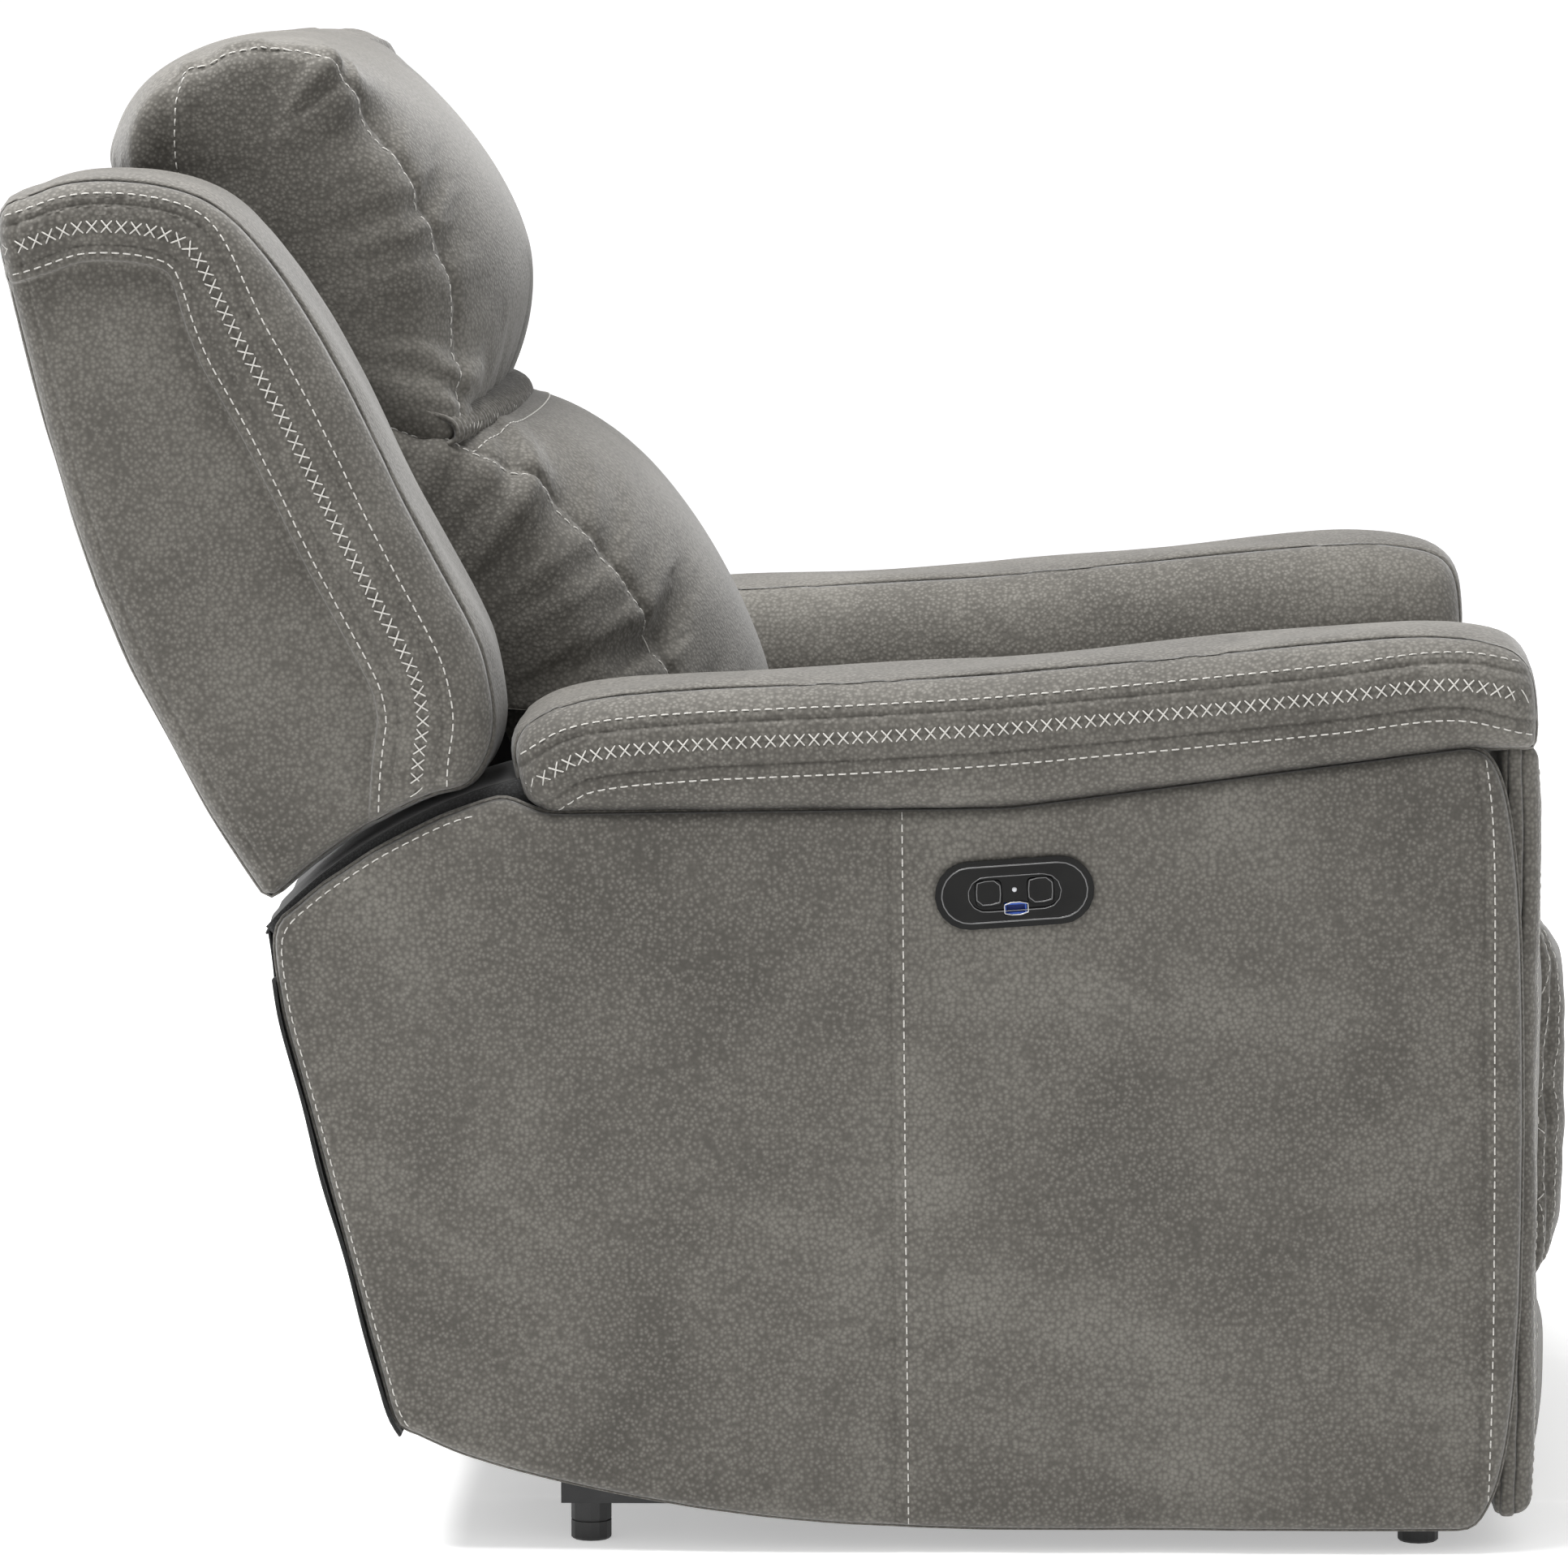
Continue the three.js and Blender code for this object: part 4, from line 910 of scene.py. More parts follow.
def rough_bag(node, inset, set_back, stations=33, rear_draw=0.0):
    """A closed bag from a cushion's side outline, with its front set back towards its two ends."""
    low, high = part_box(node)
    outline = pulled_in(outline_of(node, 0.012), inset)
    half = (high[1] - low[1]) / 2 - inset
    vertices, faces = [], []
    rings = []
    for y in np.linspace(-half, half, stations):
        share = abs(y) / (half + inset)
        ring = []
        for x, z in outline:
            depth = (x - low[0]) / (high[0] - low[0])
            ring.append(len(vertices))
            ahead = (1 - depth) * rear_draw * share ** 3
            vertices.append((x - depth * set_back(x, z, share) + ahead, y, z))
        rings.append(ring)
    count = len(outline)
    for one, other in zip(rings, rings[1:]):
        for k in range(count):
            faces.append((one[k], one[(k + 1) % count], other[(k + 1) % count], other[k]))
    for ring, reverse in ((rings[0], False), (rings[-1], True)):
        middle = np.mean([vertices[k] for k in ring], axis=0)
        vertices.append(tuple(middle))
        for k in range(count):
            a, b = ring[k], ring[(k + 1) % count]
            faces.append((b, a, len(vertices) - 1) if not reverse else (a, b, len(vertices) - 1))
    mesh = bpy.data.meshes.new("bag")
    mesh.from_pydata(vertices, [], faces)
    work = bmesh.new()
    work.from_mesh(mesh)
    bmesh.ops.recalc_face_normals(work, faces=work.faces)
    work.to_mesh(mesh)
    return mesh


def settled(bag):
    """The object's mesh with its modifiers applied, as a new mesh."""
    graph = bpy.context.evaluated_depsgraph_get()
    return bpy.data.meshes.new_from_object(bag.evaluated_get(graph))


def applied(piece):
    """Settles the object's modifiers into its mesh."""
    piece.data = settled(piece)
    piece.modifiers.clear()


def set_places(piece, places):
    piece.data.vertices.foreach_set("co", places.ravel())
    piece.data.update()


def places_of(mesh):
    """The vertices' places, as an array."""
    places = np.empty(len(mesh.vertices) * 3)
    mesh.vertices.foreach_get("co", places)
    return places.reshape(-1, 3)


def inflated(name, mesh, voxel, cap, keep=0.8):
    """The bag remeshed, blown up as cloth, and smoothed with one subdivision."""
    bag = bpy.data.objects.new(name, mesh)
    bpy.context.collection.objects.link(bag)
    remesh = bag.modifiers.new("remesh", "REMESH")
    remesh.mode = "VOXEL"
    remesh.voxel_size = voxel
    applied(bag)
    soften = bag.modifiers.new("soften", "SMOOTH")
    soften.iterations = 6
    applied(bag)
    before = places_of(bag.data)
    cloth = bag.modifiers.new("cloth", "CLOTH")
    cloth.settings.quality = 4
    cloth.settings.mass = 0.3
    cloth.settings.use_pressure = True
    cloth.settings.uniform_pressure_force = CUSHION_PRESSURE
    cloth.settings.effector_weights.gravity = 0.0
    cloth.settings.tension_stiffness = 15.0
    cloth.point_cache.frame_start = 1
    cloth.point_cache.frame_end = 20
    for frame_number in range(1, 21):
        bpy.context.scene.frame_set(frame_number)
    blown = places_of(settled(bag))
    moved = (blown - before) * keep
    reach = np.linalg.norm(moved, axis=1)[:, None]
    moved *= np.minimum(1.0, cap / np.maximum(reach, 1e-9))
    bag.modifiers.clear()
    bpy.context.scene.frame_set(1)
    set_places(bag, before + moved)
    smooth = bag.modifiers.new("smooth", "SMOOTH")
    smooth.iterations = 3
    finer = bag.modifiers.new("finer", "SUBSURF")
    finer.levels = 1
    applied(bag)
    return bag


def fitted(bag, low, high):
    """Stretches the bag to a box."""
    places = places_of(bag.data)
    least, most = places.min(0), places.max(0)
    places = np.array(low) + (places - least) / (most - least) * (np.array(high) - np.array(low))
    set_places(bag, places)


def on_bag(bag, path):
    """A path laid on the bag's surface."""
    surface = surface_of(bag)
    return np.array([surface.find_nearest(Vector(point))[0] for point in path])


def gathered(bag, seams):
    """Pulls the cover in along its seams, and gathers it into creases that run away from them.
    Each seam: path, depth, half width, crease depth, crease length, crease spacing, seed."""
    places = places_of(bag.data)
    normals = np.empty(len(places) * 3)
    bag.data.vertices.foreach_get("normal", normals)
    normals = normals.reshape(-1, 3)
    drop = np.zeros(len(places))
    for path, depth, half_width, crease, reach, spacing, seed in seams:
        marks = dense(path, 0.0015)
        tree = KDTree(len(marks))
        for k, mark in enumerate(marks):
            tree.insert(mark, k)
        tree.balance()
        box_low, box_high = marks.min(0) - 3 * reach, marks.max(0) + 3 * reach
        near = np.flatnonzero(np.all((places > box_low) & (places < box_high), axis=1))
        found = [tree.find(places[k]) for k in near]
        distance = np.array([item[2] for item in found])
        along = np.array([item[1] for item in found]) * 0.0015
        drop[near] += (seam_dip(distance, depth, half_width)
                       * (1 + 0.3 * smooth_noise(along, 0.04, seed)))
        if crease:
            pulls = smooth_noise(along + 0.25 * distance, spacing, seed + 1)
            pulls = np.sign(pulls) * np.abs(pulls) ** 0.8
            fade = np.exp(-(distance / reach) ** 1.5) * (1 - 0.5 * np.exp(-(distance / 0.004) ** 2))
            drop[near] += crease * pulls * fade * (0.6 + 0.4 * smooth_noise(along, 0.13, seed + 2))
    places -= normals * drop[:, None]
    set_places(bag, places)


def finish_bag(bag, node, body):
    bag.data.materials.clear()
    bag.data.materials.append(leather_cover)
    bag.data.polygons.foreach_set("use_smooth", [True] * len(bag.data.polygons))
    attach(bag, body)
    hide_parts(node)


BAG_VOXEL = 0.0065
SEAM_SHARE = 0.935


SEAM_LEAD = 0.309017


def end_curve(share, depth, wall):
    """How far a bag's front stands back, from its middle to its ends. For a seam, whose share is
    negative, the path stands a little in front, and lands where the front begins to turn."""
    if share < 0:
        return -SEAM_LEAD * depth * (-share / SEAM_SHARE) ** 2.6
    return (depth * min(share / SEAM_SHARE, 1.0) ** 2.6
            + wall * max(0.0, (share - SEAM_SHARE) / (1 - SEAM_SHARE)))


head_low, head_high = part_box("head_cushion")


def head_set_back(x, z, share):
    from_top = min(1.0, max(0.0, (head_high[2] - z) / 0.055))
    to_neck = 1 - 0.6 * step_up(head_low[2] + 0.09 - z, 0.0, 0.09)
    return end_curve(share, 0.056 * from_top * to_neck, 0.012)


lumbar_low, lumbar_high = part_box("lumbar_cushion")


def lumbar_set_back(x, z, share):
    return end_curve(share, 0.100, 0.020)


def sewn_path(node, set_back, share, start, end, spacing=0.004):
    """A bag's boxing seam, at a share of its half width, from one corner of its outline round
    its front to another."""
    low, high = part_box(node)
    stretch = run_of(outline_of(node, 0.006), start, end, np.zeros(2), np.zeros(2))
    path = []
    for x, z in stretch:
        depth = (x - low[0]) / (high[0] - low[0])
        path.append((x - depth * set_back(x, z, share), share * high[1], z))
    return dense(path, spacing)


def mirrored(path):
    return path * np.array((1.0, -1.0, 1.0))


head_bag = inflated("head_cushion_cover",
                    rough_bag("head_cushion", 0.008, head_set_back, rear_draw=0.030),
                    BAG_VOXEL, CUSHION_CAP, 0.55)
fitted(head_bag, (head_low[0], head_low[1] + 0.002, head_low[2] - HEAD_SINK),
       (head_high[0], head_high[1] - 0.002, head_high[2]))
head_seam = on_bag(head_bag, sewn_path("head_cushion", head_set_back, -SEAM_SHARE, (-0.45, 1.0),
                                       (1.0, -1.6)))
head_stitch = on_bag(head_bag, sewn_path("head_cushion", head_set_back, -0.975, (-0.45, 1.0),
                                         (1.0, -1.6)))
head_rear_seam = on_bag(head_bag, dense([(-0.437, -0.272, 0.999), (-0.440, -0.279, 0.975),
                                         (-0.437, -0.281, 0.90),
                                         (-0.433, -0.281, 0.85)], 0.004))
head_cross_seam = on_bag(head_bag, dense([(-0.438, -0.272, 0.992), (-0.405, -0.272, 1.006),
                                          (-0.352, -0.270, 1.014)], 0.004))
gathered(head_bag, [
    (head_seam, 0.0045, 0.0026, 0.0080, 0.045, 0.085, 31),
    (mirrored(head_seam), 0.0045, 0.0026, 0.0080, 0.045, 0.085, 34),
    (head_rear_seam, 0.0026, 0.0024, 0.0012, 0.02, 0.05, 37),
    (mirrored(head_rear_seam), 0.0026, 0.0024, 0.0012, 0.02, 0.05, 37),
    (head_cross_seam, 0.0026, 0.0024, 0.0, 0.02, 0.05, 39),
    (mirrored(head_cross_seam), 0.0026, 0.0024, 0.0, 0.02, 0.05, 39),
])
finish_bag(head_bag, "head_cushion", "back")

lumbar_bag = inflated("lumbar_cushion_cover", rough_bag("lumbar_cushion", 0.008, lumbar_set_back),
                      BAG_VOXEL, CUSHION_CAP, 0.4)
fitted(lumbar_bag, (lumbar_low[0], lumbar_low[1] + 0.002, lumbar_low[2]),
       (lumbar_high[0] - 0.007, lumbar_high[1] - 0.002, lumbar_high[2] - 0.005))
# The lower rear of the bag keeps in front of the rear board's top edge when the back reclines.
hinge = next(joint for joint in frame["joints"] if joint["name"] == "back_recline")
hinge_x, hinge_z = hinge["pos_m"][0], hinge["pos_m"][2]
FOOT_RADII = (0.290, 0.305, 0.356, 0.394, 0.430)
FOOT_ANGLES = (93.8, 94.0, 95.0, 112.3, 125.0)
lumbar_places = places_of(lumbar_bag.data)
reach = np.hypot(lumbar_places[:, 0] - hinge_x, lumbar_places[:, 2] - hinge_z)
angle = np.degrees(np.arctan2(lumbar_places[:, 2] - hinge_z, lumbar_places[:, 0] - hinge_x))
most = np.where(reach < FOOT_RADII[-1], np.interp(reach, FOOT_RADII, FOOT_ANGLES), 180.0)
held = np.radians(np.minimum(angle, most))
lumbar_places[:, 0] = hinge_x + reach * np.cos(held)
lumbar_places[:, 2] = hinge_z + reach * np.sin(held)
lumbar_bag.data.vertices.foreach_set("co", lumbar_places.ravel())
lumbar_seam = on_bag(lumbar_bag, sewn_path("lumbar_cushion", lumbar_set_back, -SEAM_SHARE,
                                           (-0.25, 1.0), (1.0, -0.6)))
lumbar_stitch = on_bag(lumbar_bag, sewn_path("lumbar_cushion", lumbar_set_back, -0.975,
                                             (-0.25, 1.0), (1.0, -0.6)))
gathered(lumbar_bag, [
    (lumbar_seam, 0.0045, 0.0026, 0.0110, 0.060, 0.10, 41),
    (mirrored(lumbar_seam), 0.0045, 0.0026, 0.0110, 0.060, 0.10, 44),
])
finish_bag(lumbar_bag, "lumbar_cushion", "back")

for name, bag, paths in (
    ("head", head_bag, (head_stitch, head_rear_seam + np.array((0.006, -0.001, 0.0)))),
    ("lumbar", lumbar_bag, (lumbar_stitch,)),
):
    surface = surface_of(bag)
    parts = ([], [])
    for path in paths:
        for line in (path, mirrored(path)):
            marks = dense(line, STITCH_PITCH)
            for one, other in zip(marks, marks[1:]):
                a, up, _, _ = surface.find_nearest(Vector(one).lerp(Vector(other), 0.14))
                b = surface.find_nearest(Vector(one).lerp(Vector(other), 0.86))[0]
                strand(parts, a, b, up, THREAD_RADIUS, 0.0005)
    thread_piece(name + "_cushion_thread", parts, "back")

# ---------------------------------------------------------------- neck band
# A narrow gathered strip joins the head bag to the lumbar bag across the front, sewn to each with
# a seam and worked over with a zigzag.
NECK_HEIGHT = 0.030
NECK_RUCHE = 0.0058


def neck_front(share):
    return head_high[0] - 0.0085 - end_curve(share, 0.034, 0.010)


neck_middle = head_low[2] + 0.004
neck_vertices = []
neck_faces = []
neck_stations = np.linspace(-0.268, 0.268, 420)
NECK_ROWS = 13
for y in neck_stations:
    share = abs(y) / head_high[1]
    ruche = 0.0009 * math.sin(2 * math.pi * y / NECK_RUCHE + 1.3 * math.sin(y * 41.0))
    for row in range(NECK_ROWS):
        up = row / (NECK_ROWS - 1) * 2 - 1
        bulge = 0.0065 * (1 - up * up) - 0.016 * up ** 4 + ruche * (1 - up ** 4)
        lean = 0.004 * up
        neck_vertices.append((neck_front(share) + bulge - lean, y,
                              neck_middle + up * NECK_HEIGHT / 2 - 0.010 * share ** 3))
for k in range(len(neck_stations) - 1):
    for row in range(NECK_ROWS - 1):
        a = k * NECK_ROWS + row
        neck_faces.append((a, a + NECK_ROWS, a + NECK_ROWS + 1, a + 1))
neck_band = link("neck_band", neck_vertices, neck_faces, leather_cover, "back")
thickness = neck_band.modifiers.new("thickness", "SOLIDIFY")
thickness.thickness = 0.004
thickness.offset = -1.0
applied(neck_band)
surface = surface_of(neck_band)
parts = ([], [])
zigzag = np.arange(-0.255, 0.2551, 0.0034)
for k, (one, other) in enumerate(zip(zigzag, zigzag[1:])):
    lift = 0.0038 * (1 if k % 2 else -1)
    shares = abs(one) / head_high[1], abs(other) / head_high[1]
    a, up = landed(surface, (neck_front(shares[0]), one,
                             neck_middle - 0.003 + lift - 0.010 * shares[0] ** 3), (-1, 0, 0))
    b, _ = landed(surface, (neck_front(shares[1]), other,
                            neck_middle - 0.003 - lift - 0.010 * shares[1] ** 3), (-1, 0, 0))
    strand(parts, a, b, up, 0.0004, 0.0004)
lumbar_top = surface_of(lumbar_bag)
marks = np.arange(-0.258, 0.258, STITCH_PITCH)
for one in marks:
    places = []
    for y in (one, one + STITCH_LENGTH):
        share = abs(y) / head_high[1]
        places.append(landed(lumbar_top, (neck_front(share) + 0.020, y, neck_middle - 0.004),
                             (-0.35, 0, -0.94)))
    strand(parts, places[0][0], places[1][0], places[0][1], THREAD_RADIUS, 0.0005)
thread_piece("neck_thread", parts, "back")

# ---------------------------------------------------------------- seat cushion and footrest pads
# The seat is a foam block wrapped in fibre, and the footrest is two wide pads tacked to one board.
# Each is sewn with a front panel between two end boxings, which the filling swells past its seams.


def no_set_back(x, z, share):
    return 0.0


def pad_set_back(x, z, share):
    return end_curve(share, 0.010, 0.006)


seat_low, seat_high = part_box("seat_cushion")
seat_bag = inflated("seat_cushion_cover", rough_bag("seat_cushion", 0.006, no_set_back, 27), 0.008,
                    CUSHION_CAP, 0.6)
fitted(seat_bag, (seat_low[0], seat_low[1] + 0.001, seat_low[2]),
       (seat_high[0], seat_high[1] - 0.001, seat_high[2]))
seat_seams = []
for share in (-0.93, 0.93):
    path = [(x, share * seat_high[1], z) for x, z in
            run_of(outline_of("seat_cushion", 0.006), (-0.2, 1.0), (1.0, -0.5), np.zeros(2),
                   np.zeros(2))]
    seat_seams.append(on_bag(seat_bag, dense(path, 0.005)))
seat_cross = on_bag(seat_bag, dense([(seat_high[0] - 0.07, -0.26, seat_high[2]),
                                     (seat_high[0] - 0.07, 0.26, seat_high[2])], 0.005))
gathered(seat_bag, [(path, 0.005, 0.0030, 0.0030, 0.05, 0.11, 51 + k)
                    for k, path in enumerate(seat_seams)]
         + [(seat_cross, 0.004, 0.0030, 0.0022, 0.04, 0.12, 55)])
finish_bag(seat_bag, "seat_cushion", "base")
seat_surface = surface_of(seat_bag)
parts = ([], [])
sew(parts, seat_surface, seat_cross - np.array((0.007, 0.0, 0.0)), (0.0, 0.0, -1.0))
for path in seat_seams:
    top = path[path[:, 0] < seat_high[0] - 0.03]
    sew(parts, seat_surface, top * np.array((1.0, 0.972, 1.0)), (0.0, 0.0, -1.0))
thread_piece("seat_cushion_thread", parts, "base")

PAD_SWELL = 0.006
for name in ("upper", "lower"):
    node = "footrest_pad_" + name
    low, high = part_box(node)
    pad = inflated(node + "_cover", rough_bag(node, 0.004, pad_set_back, 27), 0.006, 0.014, 0.6)
    fitted(pad, (low[0], low[1] + 0.001, low[2] + 0.0005),
           (high[0] + PAD_SWELL, high[1] - 0.001, high[2] - 0.0005))
    seams = []
    for share in (-0.945, 0.945):
        path = [(high[0] - end_curve(abs(share), 0.010, 0.006), share * high[1], z)
                for z in np.arange(low[2] + 0.006, high[2] - 0.004, 0.004)]
        seams.append(on_bag(pad, np.array(path)))
    gathered(pad, [(path, 0.0045, 0.0026, 0.0022, 0.035, 0.09, 61 + k)
                   for k, path in enumerate(seams)])
    finish_bag(pad, node, "footrest")
    surface = surface_of(pad)
    parts = ([], [])
    for path in seams:
        sew(parts, surface, path * np.array((1.0, 1.026, 1.0)), (-1.0, 0.0, 0.0))
        sew(parts, surface, path * np.array((1.0, 0.972, 1.0)), (-1.0, 0.0, 0.0))
    thread_piece(node + "_thread", parts, "footrest")

# ---------------------------------------------------------------- control panel
# A gloss black plate set in the right side panel: two rounded buttons and a status light in a
# shallow recess, with a bright-rimmed charging socket below them. Pale grey beads round the plate,
# its recess and the buttons carry a painted highlight along their edges.
gloss_finish = Finish("gloss_black", (0.004, 0.004, 0.004), 0.10, Specular_IOR_Level=0.22)
gloss_place = gloss_finish.place()
gloss_dust = gloss_finish.noise(gloss_place, 260.0, 4.0, 0.7)
gloss_finish.feed(Roughness=0.07 + gloss_dust * 0.12,
                  Base_Color=gloss_finish.ramp(gloss_finish.noise(gloss_place, 40.0),
                                               (0.3, (0.002, 0.002, 0.002)),
                                               (0.7, (0.006, 0.006, 0.0055))))
chrome_finish = Finish("chrome_rim", (0.40, 0.40, 0.40), 0.22, 1.0)
chrome_finish.feed(Roughness=0.12 + chrome_finish.noise(chrome_finish.place(), 400.0, 3.0) * 0.2)
# Pale grey glossy beads: their colour is a painted highlight on the bezel, recess and button edges.
rim_highlight_finish = Finish("rim_painted_highlight", (0.10, 0.10, 0.10), 0.15, 0.3, Coat_Weight=0.5)
rim_highlight_finish.feed(Roughness=0.10 + rim_highlight_finish.noise(rim_highlight_finish.place(), 300.0) * 0.15)
light_finish = Finish("status_light", (0.55, 0.56, 0.58), 0.3)
light_finish.feed(Roughness=0.25 + light_finish.noise(light_finish.place(), 900.0) * 0.2)
blue_finish = Finish("usb_plastic", (0.012, 0.075, 0.42), 0.35)
blue_finish.feed(Base_Color=blue_finish.ramp(blue_finish.noise(blue_finish.place(), 500.0),
                                             (0.3, (0.010, 0.06, 0.36)),
                                             (0.7, (0.016, 0.09, 0.48))))


def bent_wire(name, path, y, radius, material, body="base"):
    """A closed bead of round section laid on the panel's face."""
    path = np.asarray(path)
    ahead = np.roll(path, -1, 0) - np.roll(path, 1, 0)
    ahead /= np.linalg.norm(ahead, axis=1)[:, None]
    vertices, faces = [], []
    for (x, z), (dx, dz) in zip(path, ahead):
        for k in range(8):
            turn = math.pi * k / 4
            vertices.append((x + dz * math.cos(turn) * radius, y - math.sin(turn) * radius,
                             z - dx * math.cos(turn) * radius))
    count = len(path)
    for k in range(count):
        for j in range(8):
            a, b = k * 8 + j, k * 8 + (j + 1) % 8
            c, d = ((k + 1) % count) * 8 + (j + 1) % 8, ((k + 1) % count) * 8 + j
            faces.append((a, b, c, d))
    return link(name, vertices, faces, material.material, body)


def panel_point(across, up):
    return bezel_middle + np.array((across * math.cos(BEZEL_TILT) - up * math.sin(BEZEL_TILT),
                                    across * math.sin(BEZEL_TILT) + up * math.cos(BEZEL_TILT)))


def rounded_loop(half_width, half_height, radius, across=0.0, up=0.0):
    loop = rounded_box((-half_width, -half_height), (half_width, half_height), radius)
    loop = (dense(loop, 0.0006, closed=True) if half_width < 0.02
            else dense(loop, 0.0015, closed=True))
    return np.array([panel_point(across + a, up + b) for a, b in loop])


bezel_face = bezel_low[1]
# Raised beads in the painted-highlight grey round the bezel, its recess and each button.
bent_wire("bezel_rim", rounded_loop(0.0490, 0.0188, 0.0187), bezel_face + 0.0001, 0.00055,
          rim_highlight_finish)
bent_wire("recess_rim", rounded_loop(0.0313, 0.0118, 0.0117), bezel_face + 0.0001, 0.00035,
          rim_highlight_finish)
bent_wire("usb_rim", rounded_loop(0.0079, 0.0042, 0.0012, 0.0005, -0.0105), bezel_face + 0.0001,
          0.00045, chrome_finish)
for name, across in (("close", -0.0175), ("open", 0.0175)):
    low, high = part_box("button_" + name)
    bent_wire("button_" + name + "_edge", rounded_loop(0.0080, 0.0080, 0.0034, across, 0.001),
              low[1] + 0.0002,
              0.00045, rim_highlight_finish, "button_" + name)
LIGHT_RADIUS = 0.0017
light_vertices = []
light_centre = panel_point(0.0, 0.002)
for ring in range(5):
    lean = math.pi / 2 * ring / 4
    for k in range(16):
        turn = math.pi * k / 8
        light_vertices.append((light_centre[0] + LIGHT_RADIUS * math.cos(lean) * math.cos(turn),
                               bezel_face + 0.0030 - 0.0009 * math.sin(lean),
                               light_centre[1] + LIGHT_RADIUS * math.cos(lean) * math.sin(turn)))
light_faces = [(r * 16 + k, r * 16 + (k + 1) % 16, (r + 1) * 16 + (k + 1) % 16, (r + 1) * 16 + k)
               for r in range(4) for k in range(16)] + [tuple(reversed(range(16)))]
link("status_light", light_vertices, light_faces, light_finish.material, "base")

# ---------------------------------------------------------------- frame, mechanism and feet
# Plywood rails and posts, black painted steel for the plates, links and base tubes, bright steel
# pins and springs, moulded black plastic for the motor and feet, and a black cloth at the rear.
wood_finish = Finish("plywood", (0.42, 0.30, 0.18), 0.7)
wood_place = wood_finish.place()
wood_stretched = wood_finish.add("ShaderNodeVectorMath", {"operation": "MULTIPLY"},
                                 {0: wood_place, 1: (9.0, 9.0, 120.0)})[0]
wood_grain = wood_finish.noise(wood_stretched, 2.2, 5.0, 0.6, 1.4)
wood_finish.feed(Base_Color=wood_finish.ramp(wood_grain, (0.3, (0.30, 0.20, 0.115)),
                                             (0.55, (0.45, 0.325, 0.20)),
                                             (0.75, (0.54, 0.41, 0.27))),
                 Roughness=0.62 + wood_grain * 0.2,
                 Normal=wood_finish.bump(wood_grain, 0.3, 0.0006))
painted_finish = Finish("black_steel", (0.014, 0.014, 0.0145), 0.42, 0.2)
painted_place = painted_finish.place()
painted_peel = painted_finish.noise(painted_place, 420.0, 3.0)
painted_finish.feed(Base_Color=painted_finish.ramp(painted_finish.noise(painted_place, 22.0, 4.0),
                                                   (0.35, (0.010, 0.010, 0.0105)),
                                                   (0.7, (0.024, 0.024, 0.0235))),
                    Roughness=0.34 + painted_peel * 0.2,
                    Normal=painted_finish.bump(painted_peel, 0.25, 0.0003))
bright_finish = Finish("bright_steel", (0.55, 0.55, 0.54), 0.32, 1.0)
bright_place = bright_finish.place()
bright_brush = bright_finish.noise(bright_place, 700.0, 3.0)
bright_finish.feed(Base_Color=bright_finish.ramp(bright_finish.noise(bright_place, 30.0),
                                                 (0.3, (0.46, 0.46, 0.45)),
                                                 (0.7, (0.62, 0.62, 0.61))),
                   Roughness=0.24 + bright_brush * 0.22)
plastic_finish = Finish("black_plastic", (0.016, 0.016, 0.016), 0.5)
plastic_place = plastic_finish.place()
plastic_grain = plastic_finish.noise(plastic_place, 1100.0, 2.0)
plastic_finish.feed(Base_Color=plastic_finish.ramp(plastic_finish.noise(plastic_place, 35.0),
                                                   (0.3, (0.012, 0.012, 0.012)),
                                                   (0.7, (0.024, 0.024, 0.024))),
                    Roughness=0.42 + plastic_grain * 0.2,
                    Normal=plastic_finish.bump(plastic_grain, 0.35, 0.0002))
cloth_finish = Finish("black_cloth", (0.012, 0.012, 0.0125), 0.95, Sheen_Weight=0.3)
cloth_place = cloth_finish.place()
cloth_weave = cloth_finish.add("ShaderNodeTexVoronoi", {"feature": "F1"},
                               {"Vector": cloth_place, "Scale": 620.0})[0]
cloth_finish.feed(Base_Color=cloth_finish.ramp(cloth_weave, (0.1, (0.022, 0.022, 0.023)),
                                               (0.6, (0.006, 0.006, 0.006))),
                  Normal=cloth_finish.bump(1.0 - cloth_weave, 0.6, 0.0004))
slot_finishes = {
    "plywood": wood_finish,
    "black_steel": painted_finish,
    "bright_steel": bright_finish,
    "black_plastic": plastic_finish,
    "gloss_black": gloss_finish,
    "usb_plastic": blue_finish,
    "black_cloth": cloth_finish,
}
covered_rails = ("footrest_board", "seat_rail_front", "arm_rail_right", "arm_rail_left",
                 "back_rail_upper", "back_post_right", "back_post_left")
for node, part in frame["nodes"].items():
    for material_slot in part.material_slots:
        finish = slot_finishes.get(material_slot.name.split(".")[0])
        if node in covered_rails:
            material_slot.material = leather_cover
        elif finish:
            material_slot.material = finish.material

# ---------------------------------------------------------------- rear cloth and arm linings
# Black cloth is stapled over the rear board and up over the rear ends of the arms, just inside the
# arc that the wings swing along. A second strip, between the hinge plates, closes the gap under it.
CLOTH_OUTSIDE = 0.0055
LINING_RADIUS = 0.3450
LINING_START = 137.0
LINING_END = 96.0
CLOTH_EDGE_Y = 0.466
ARM_OUTER_Y = 0.4495
ARM_INNER_Y = 0.300
SLOT_INNER_Y = 0.264
SLOT_FOOT_Z = 0.234
INLET_HALF_WIDTH = 0.020
INLET_LOW_Z = 0.136
INLET_HIGH_Z = 0.166
rear_edge = panel_rear_run[panel_rear_run[:, 1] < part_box("rear_panel")[1][2] - 0.022]
rear_edge = dense(inset_line(rear_edge, np.full(len(rear_edge), -CLOTH_OUTSIDE)), 0.006)


def arc_to(degrees):
    """The arc over the arms' rear ends, up to an angle about the recline hinge."""
    turns = np.radians(np.arange(LINING_START, degrees, -1.5))
    return np.stack([hinge_x + LINING_RADIUS * np.cos(turns),
                     hinge_z + LINING_RADIUS * np.sin(turns)], 1)


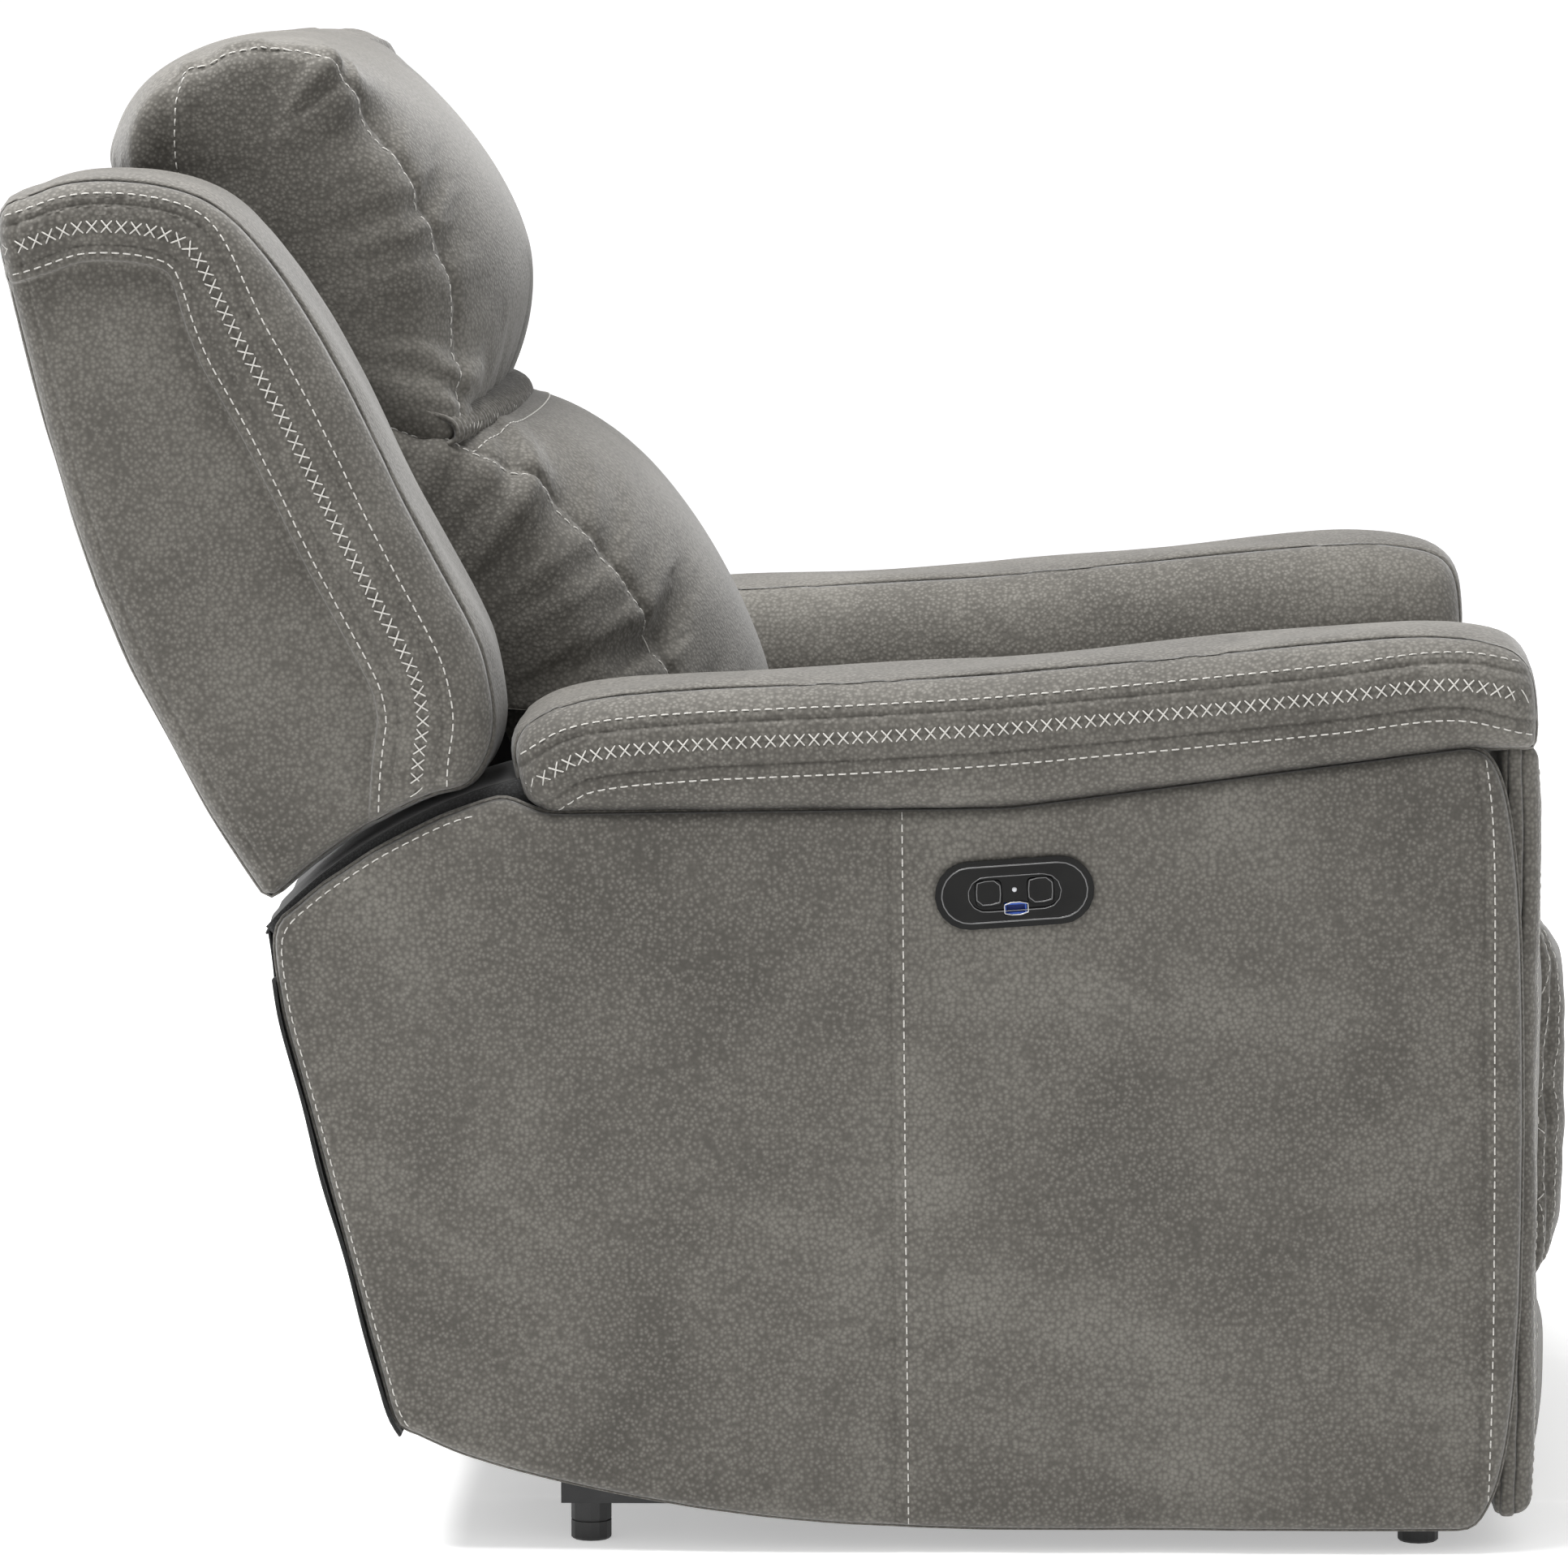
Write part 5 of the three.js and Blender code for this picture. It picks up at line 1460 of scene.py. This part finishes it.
over_arm = dense(np.vstack([rear_edge, arc_to(LINING_END)]), 0.006)
cloth_vertices = []
cloth_faces = []
for path, y_low, y_high in (
    (rear_edge, ARM_OUTER_Y, CLOTH_EDGE_Y),
    (over_arm, ARM_INNER_Y, ARM_OUTER_Y),
    (rear_edge[rear_edge[:, 1] < SLOT_FOOT_Z], SLOT_INNER_Y, ARM_INNER_Y),
    (rear_edge, INLET_HALF_WIDTH, SLOT_INNER_Y),
):
    for mirror in (1, -1):
        start = len(cloth_vertices)
        across = np.linspace(y_low, y_high, max(2, int((y_high - y_low) / 0.012))) * mirror
        for x, z in path:
            for y in across:
                ripple = 0.0006 * math.sin(z * 61 + y * 23) + 0.0005 * math.sin(y * 80 - z * 31)
                cloth_vertices.append((x + ripple, y, z))
        width = len(across)
        for row in range(len(path) - 1):
            for k in range(width - 1):
                a = start + row * width + k
                face = (a, a + 1, a + width + 1, a + width)
                cloth_faces.append(face if mirror < 0 else face[::-1])
for path in (rear_edge[rear_edge[:, 1] < INLET_LOW_Z], rear_edge[rear_edge[:, 1] > INLET_HIGH_Z]):
    start = len(cloth_vertices)
    for x, z in path:
        cloth_vertices += [(x, -INLET_HALF_WIDTH, z), (x, INLET_HALF_WIDTH, z)]
    cloth_faces += [(start + 2 * row, start + 2 * row + 2, start + 2 * row + 3, start + 2 * row + 1)
                    for row in range(len(path) - 1)]
LINING_HEM = 0.026
for mirror in (1, -1):
    start = len(cloth_vertices)
    rim = arc_to(LINING_END)
    y = mirror * ARM_OUTER_Y
    for x, z in rim:
        inward = LINING_HEM * np.array((hinge_x - x, hinge_z - z)) / LINING_RADIUS
        cloth_vertices += [(x, y, z), (x + inward[0], y, z + inward[1])]
    cloth_faces += [(start + 2 * row, start + 2 * row + 1, start + 2 * row + 3,
                     start + 2 * row + 2)[::mirror]
                    for row in range(len(rim) - 1)]
CLOTH_THICKNESS = 0.0016


def cloth_sheet(name, vertices, faces, body):
    """A sheet of the black cloth, and its area."""
    sheet = link(name, vertices, faces, cloth_finish.material, body)
    area = sum(face.area for face in sheet.data.polygons)
    thickness = sheet.modifiers.new("thickness", "SOLIDIFY")
    thickness.thickness = CLOTH_THICKNESS
    applied(sheet)
    return sheet, area


rear_cloth, rear_area = cloth_sheet("rear_cloth", cloth_vertices, cloth_faces, "base")
BACK_CLOTH_RADIUS = 0.338
BACK_CLOTH_HALF_WIDTH = 0.2675
back_vertices = []
back_turns = np.radians(np.arange(142.25, 111.0, -1.25))
back_across = np.linspace(-BACK_CLOTH_HALF_WIDTH, BACK_CLOTH_HALF_WIDTH, 42)
for turn in back_turns:
    for y in back_across:
        ripple = 0.0006 * math.sin(turn * 31 + y * 23) + 0.0005 * math.sin(y * 70 - turn * 13)
        radius = BACK_CLOTH_RADIUS + ripple
        back_vertices.append((hinge_x + radius * math.cos(turn), y,
                              hinge_z + radius * math.sin(turn)))
back_faces = []
for row in range(len(back_turns) - 1):
    for k in range(len(back_across) - 1):
        a = row * len(back_across) + k
        back_faces.append((a, a + len(back_across), a + len(back_across) + 1, a + 1))
back_cloth = cloth_sheet("back_cloth", back_vertices, back_faces, "back")[0]
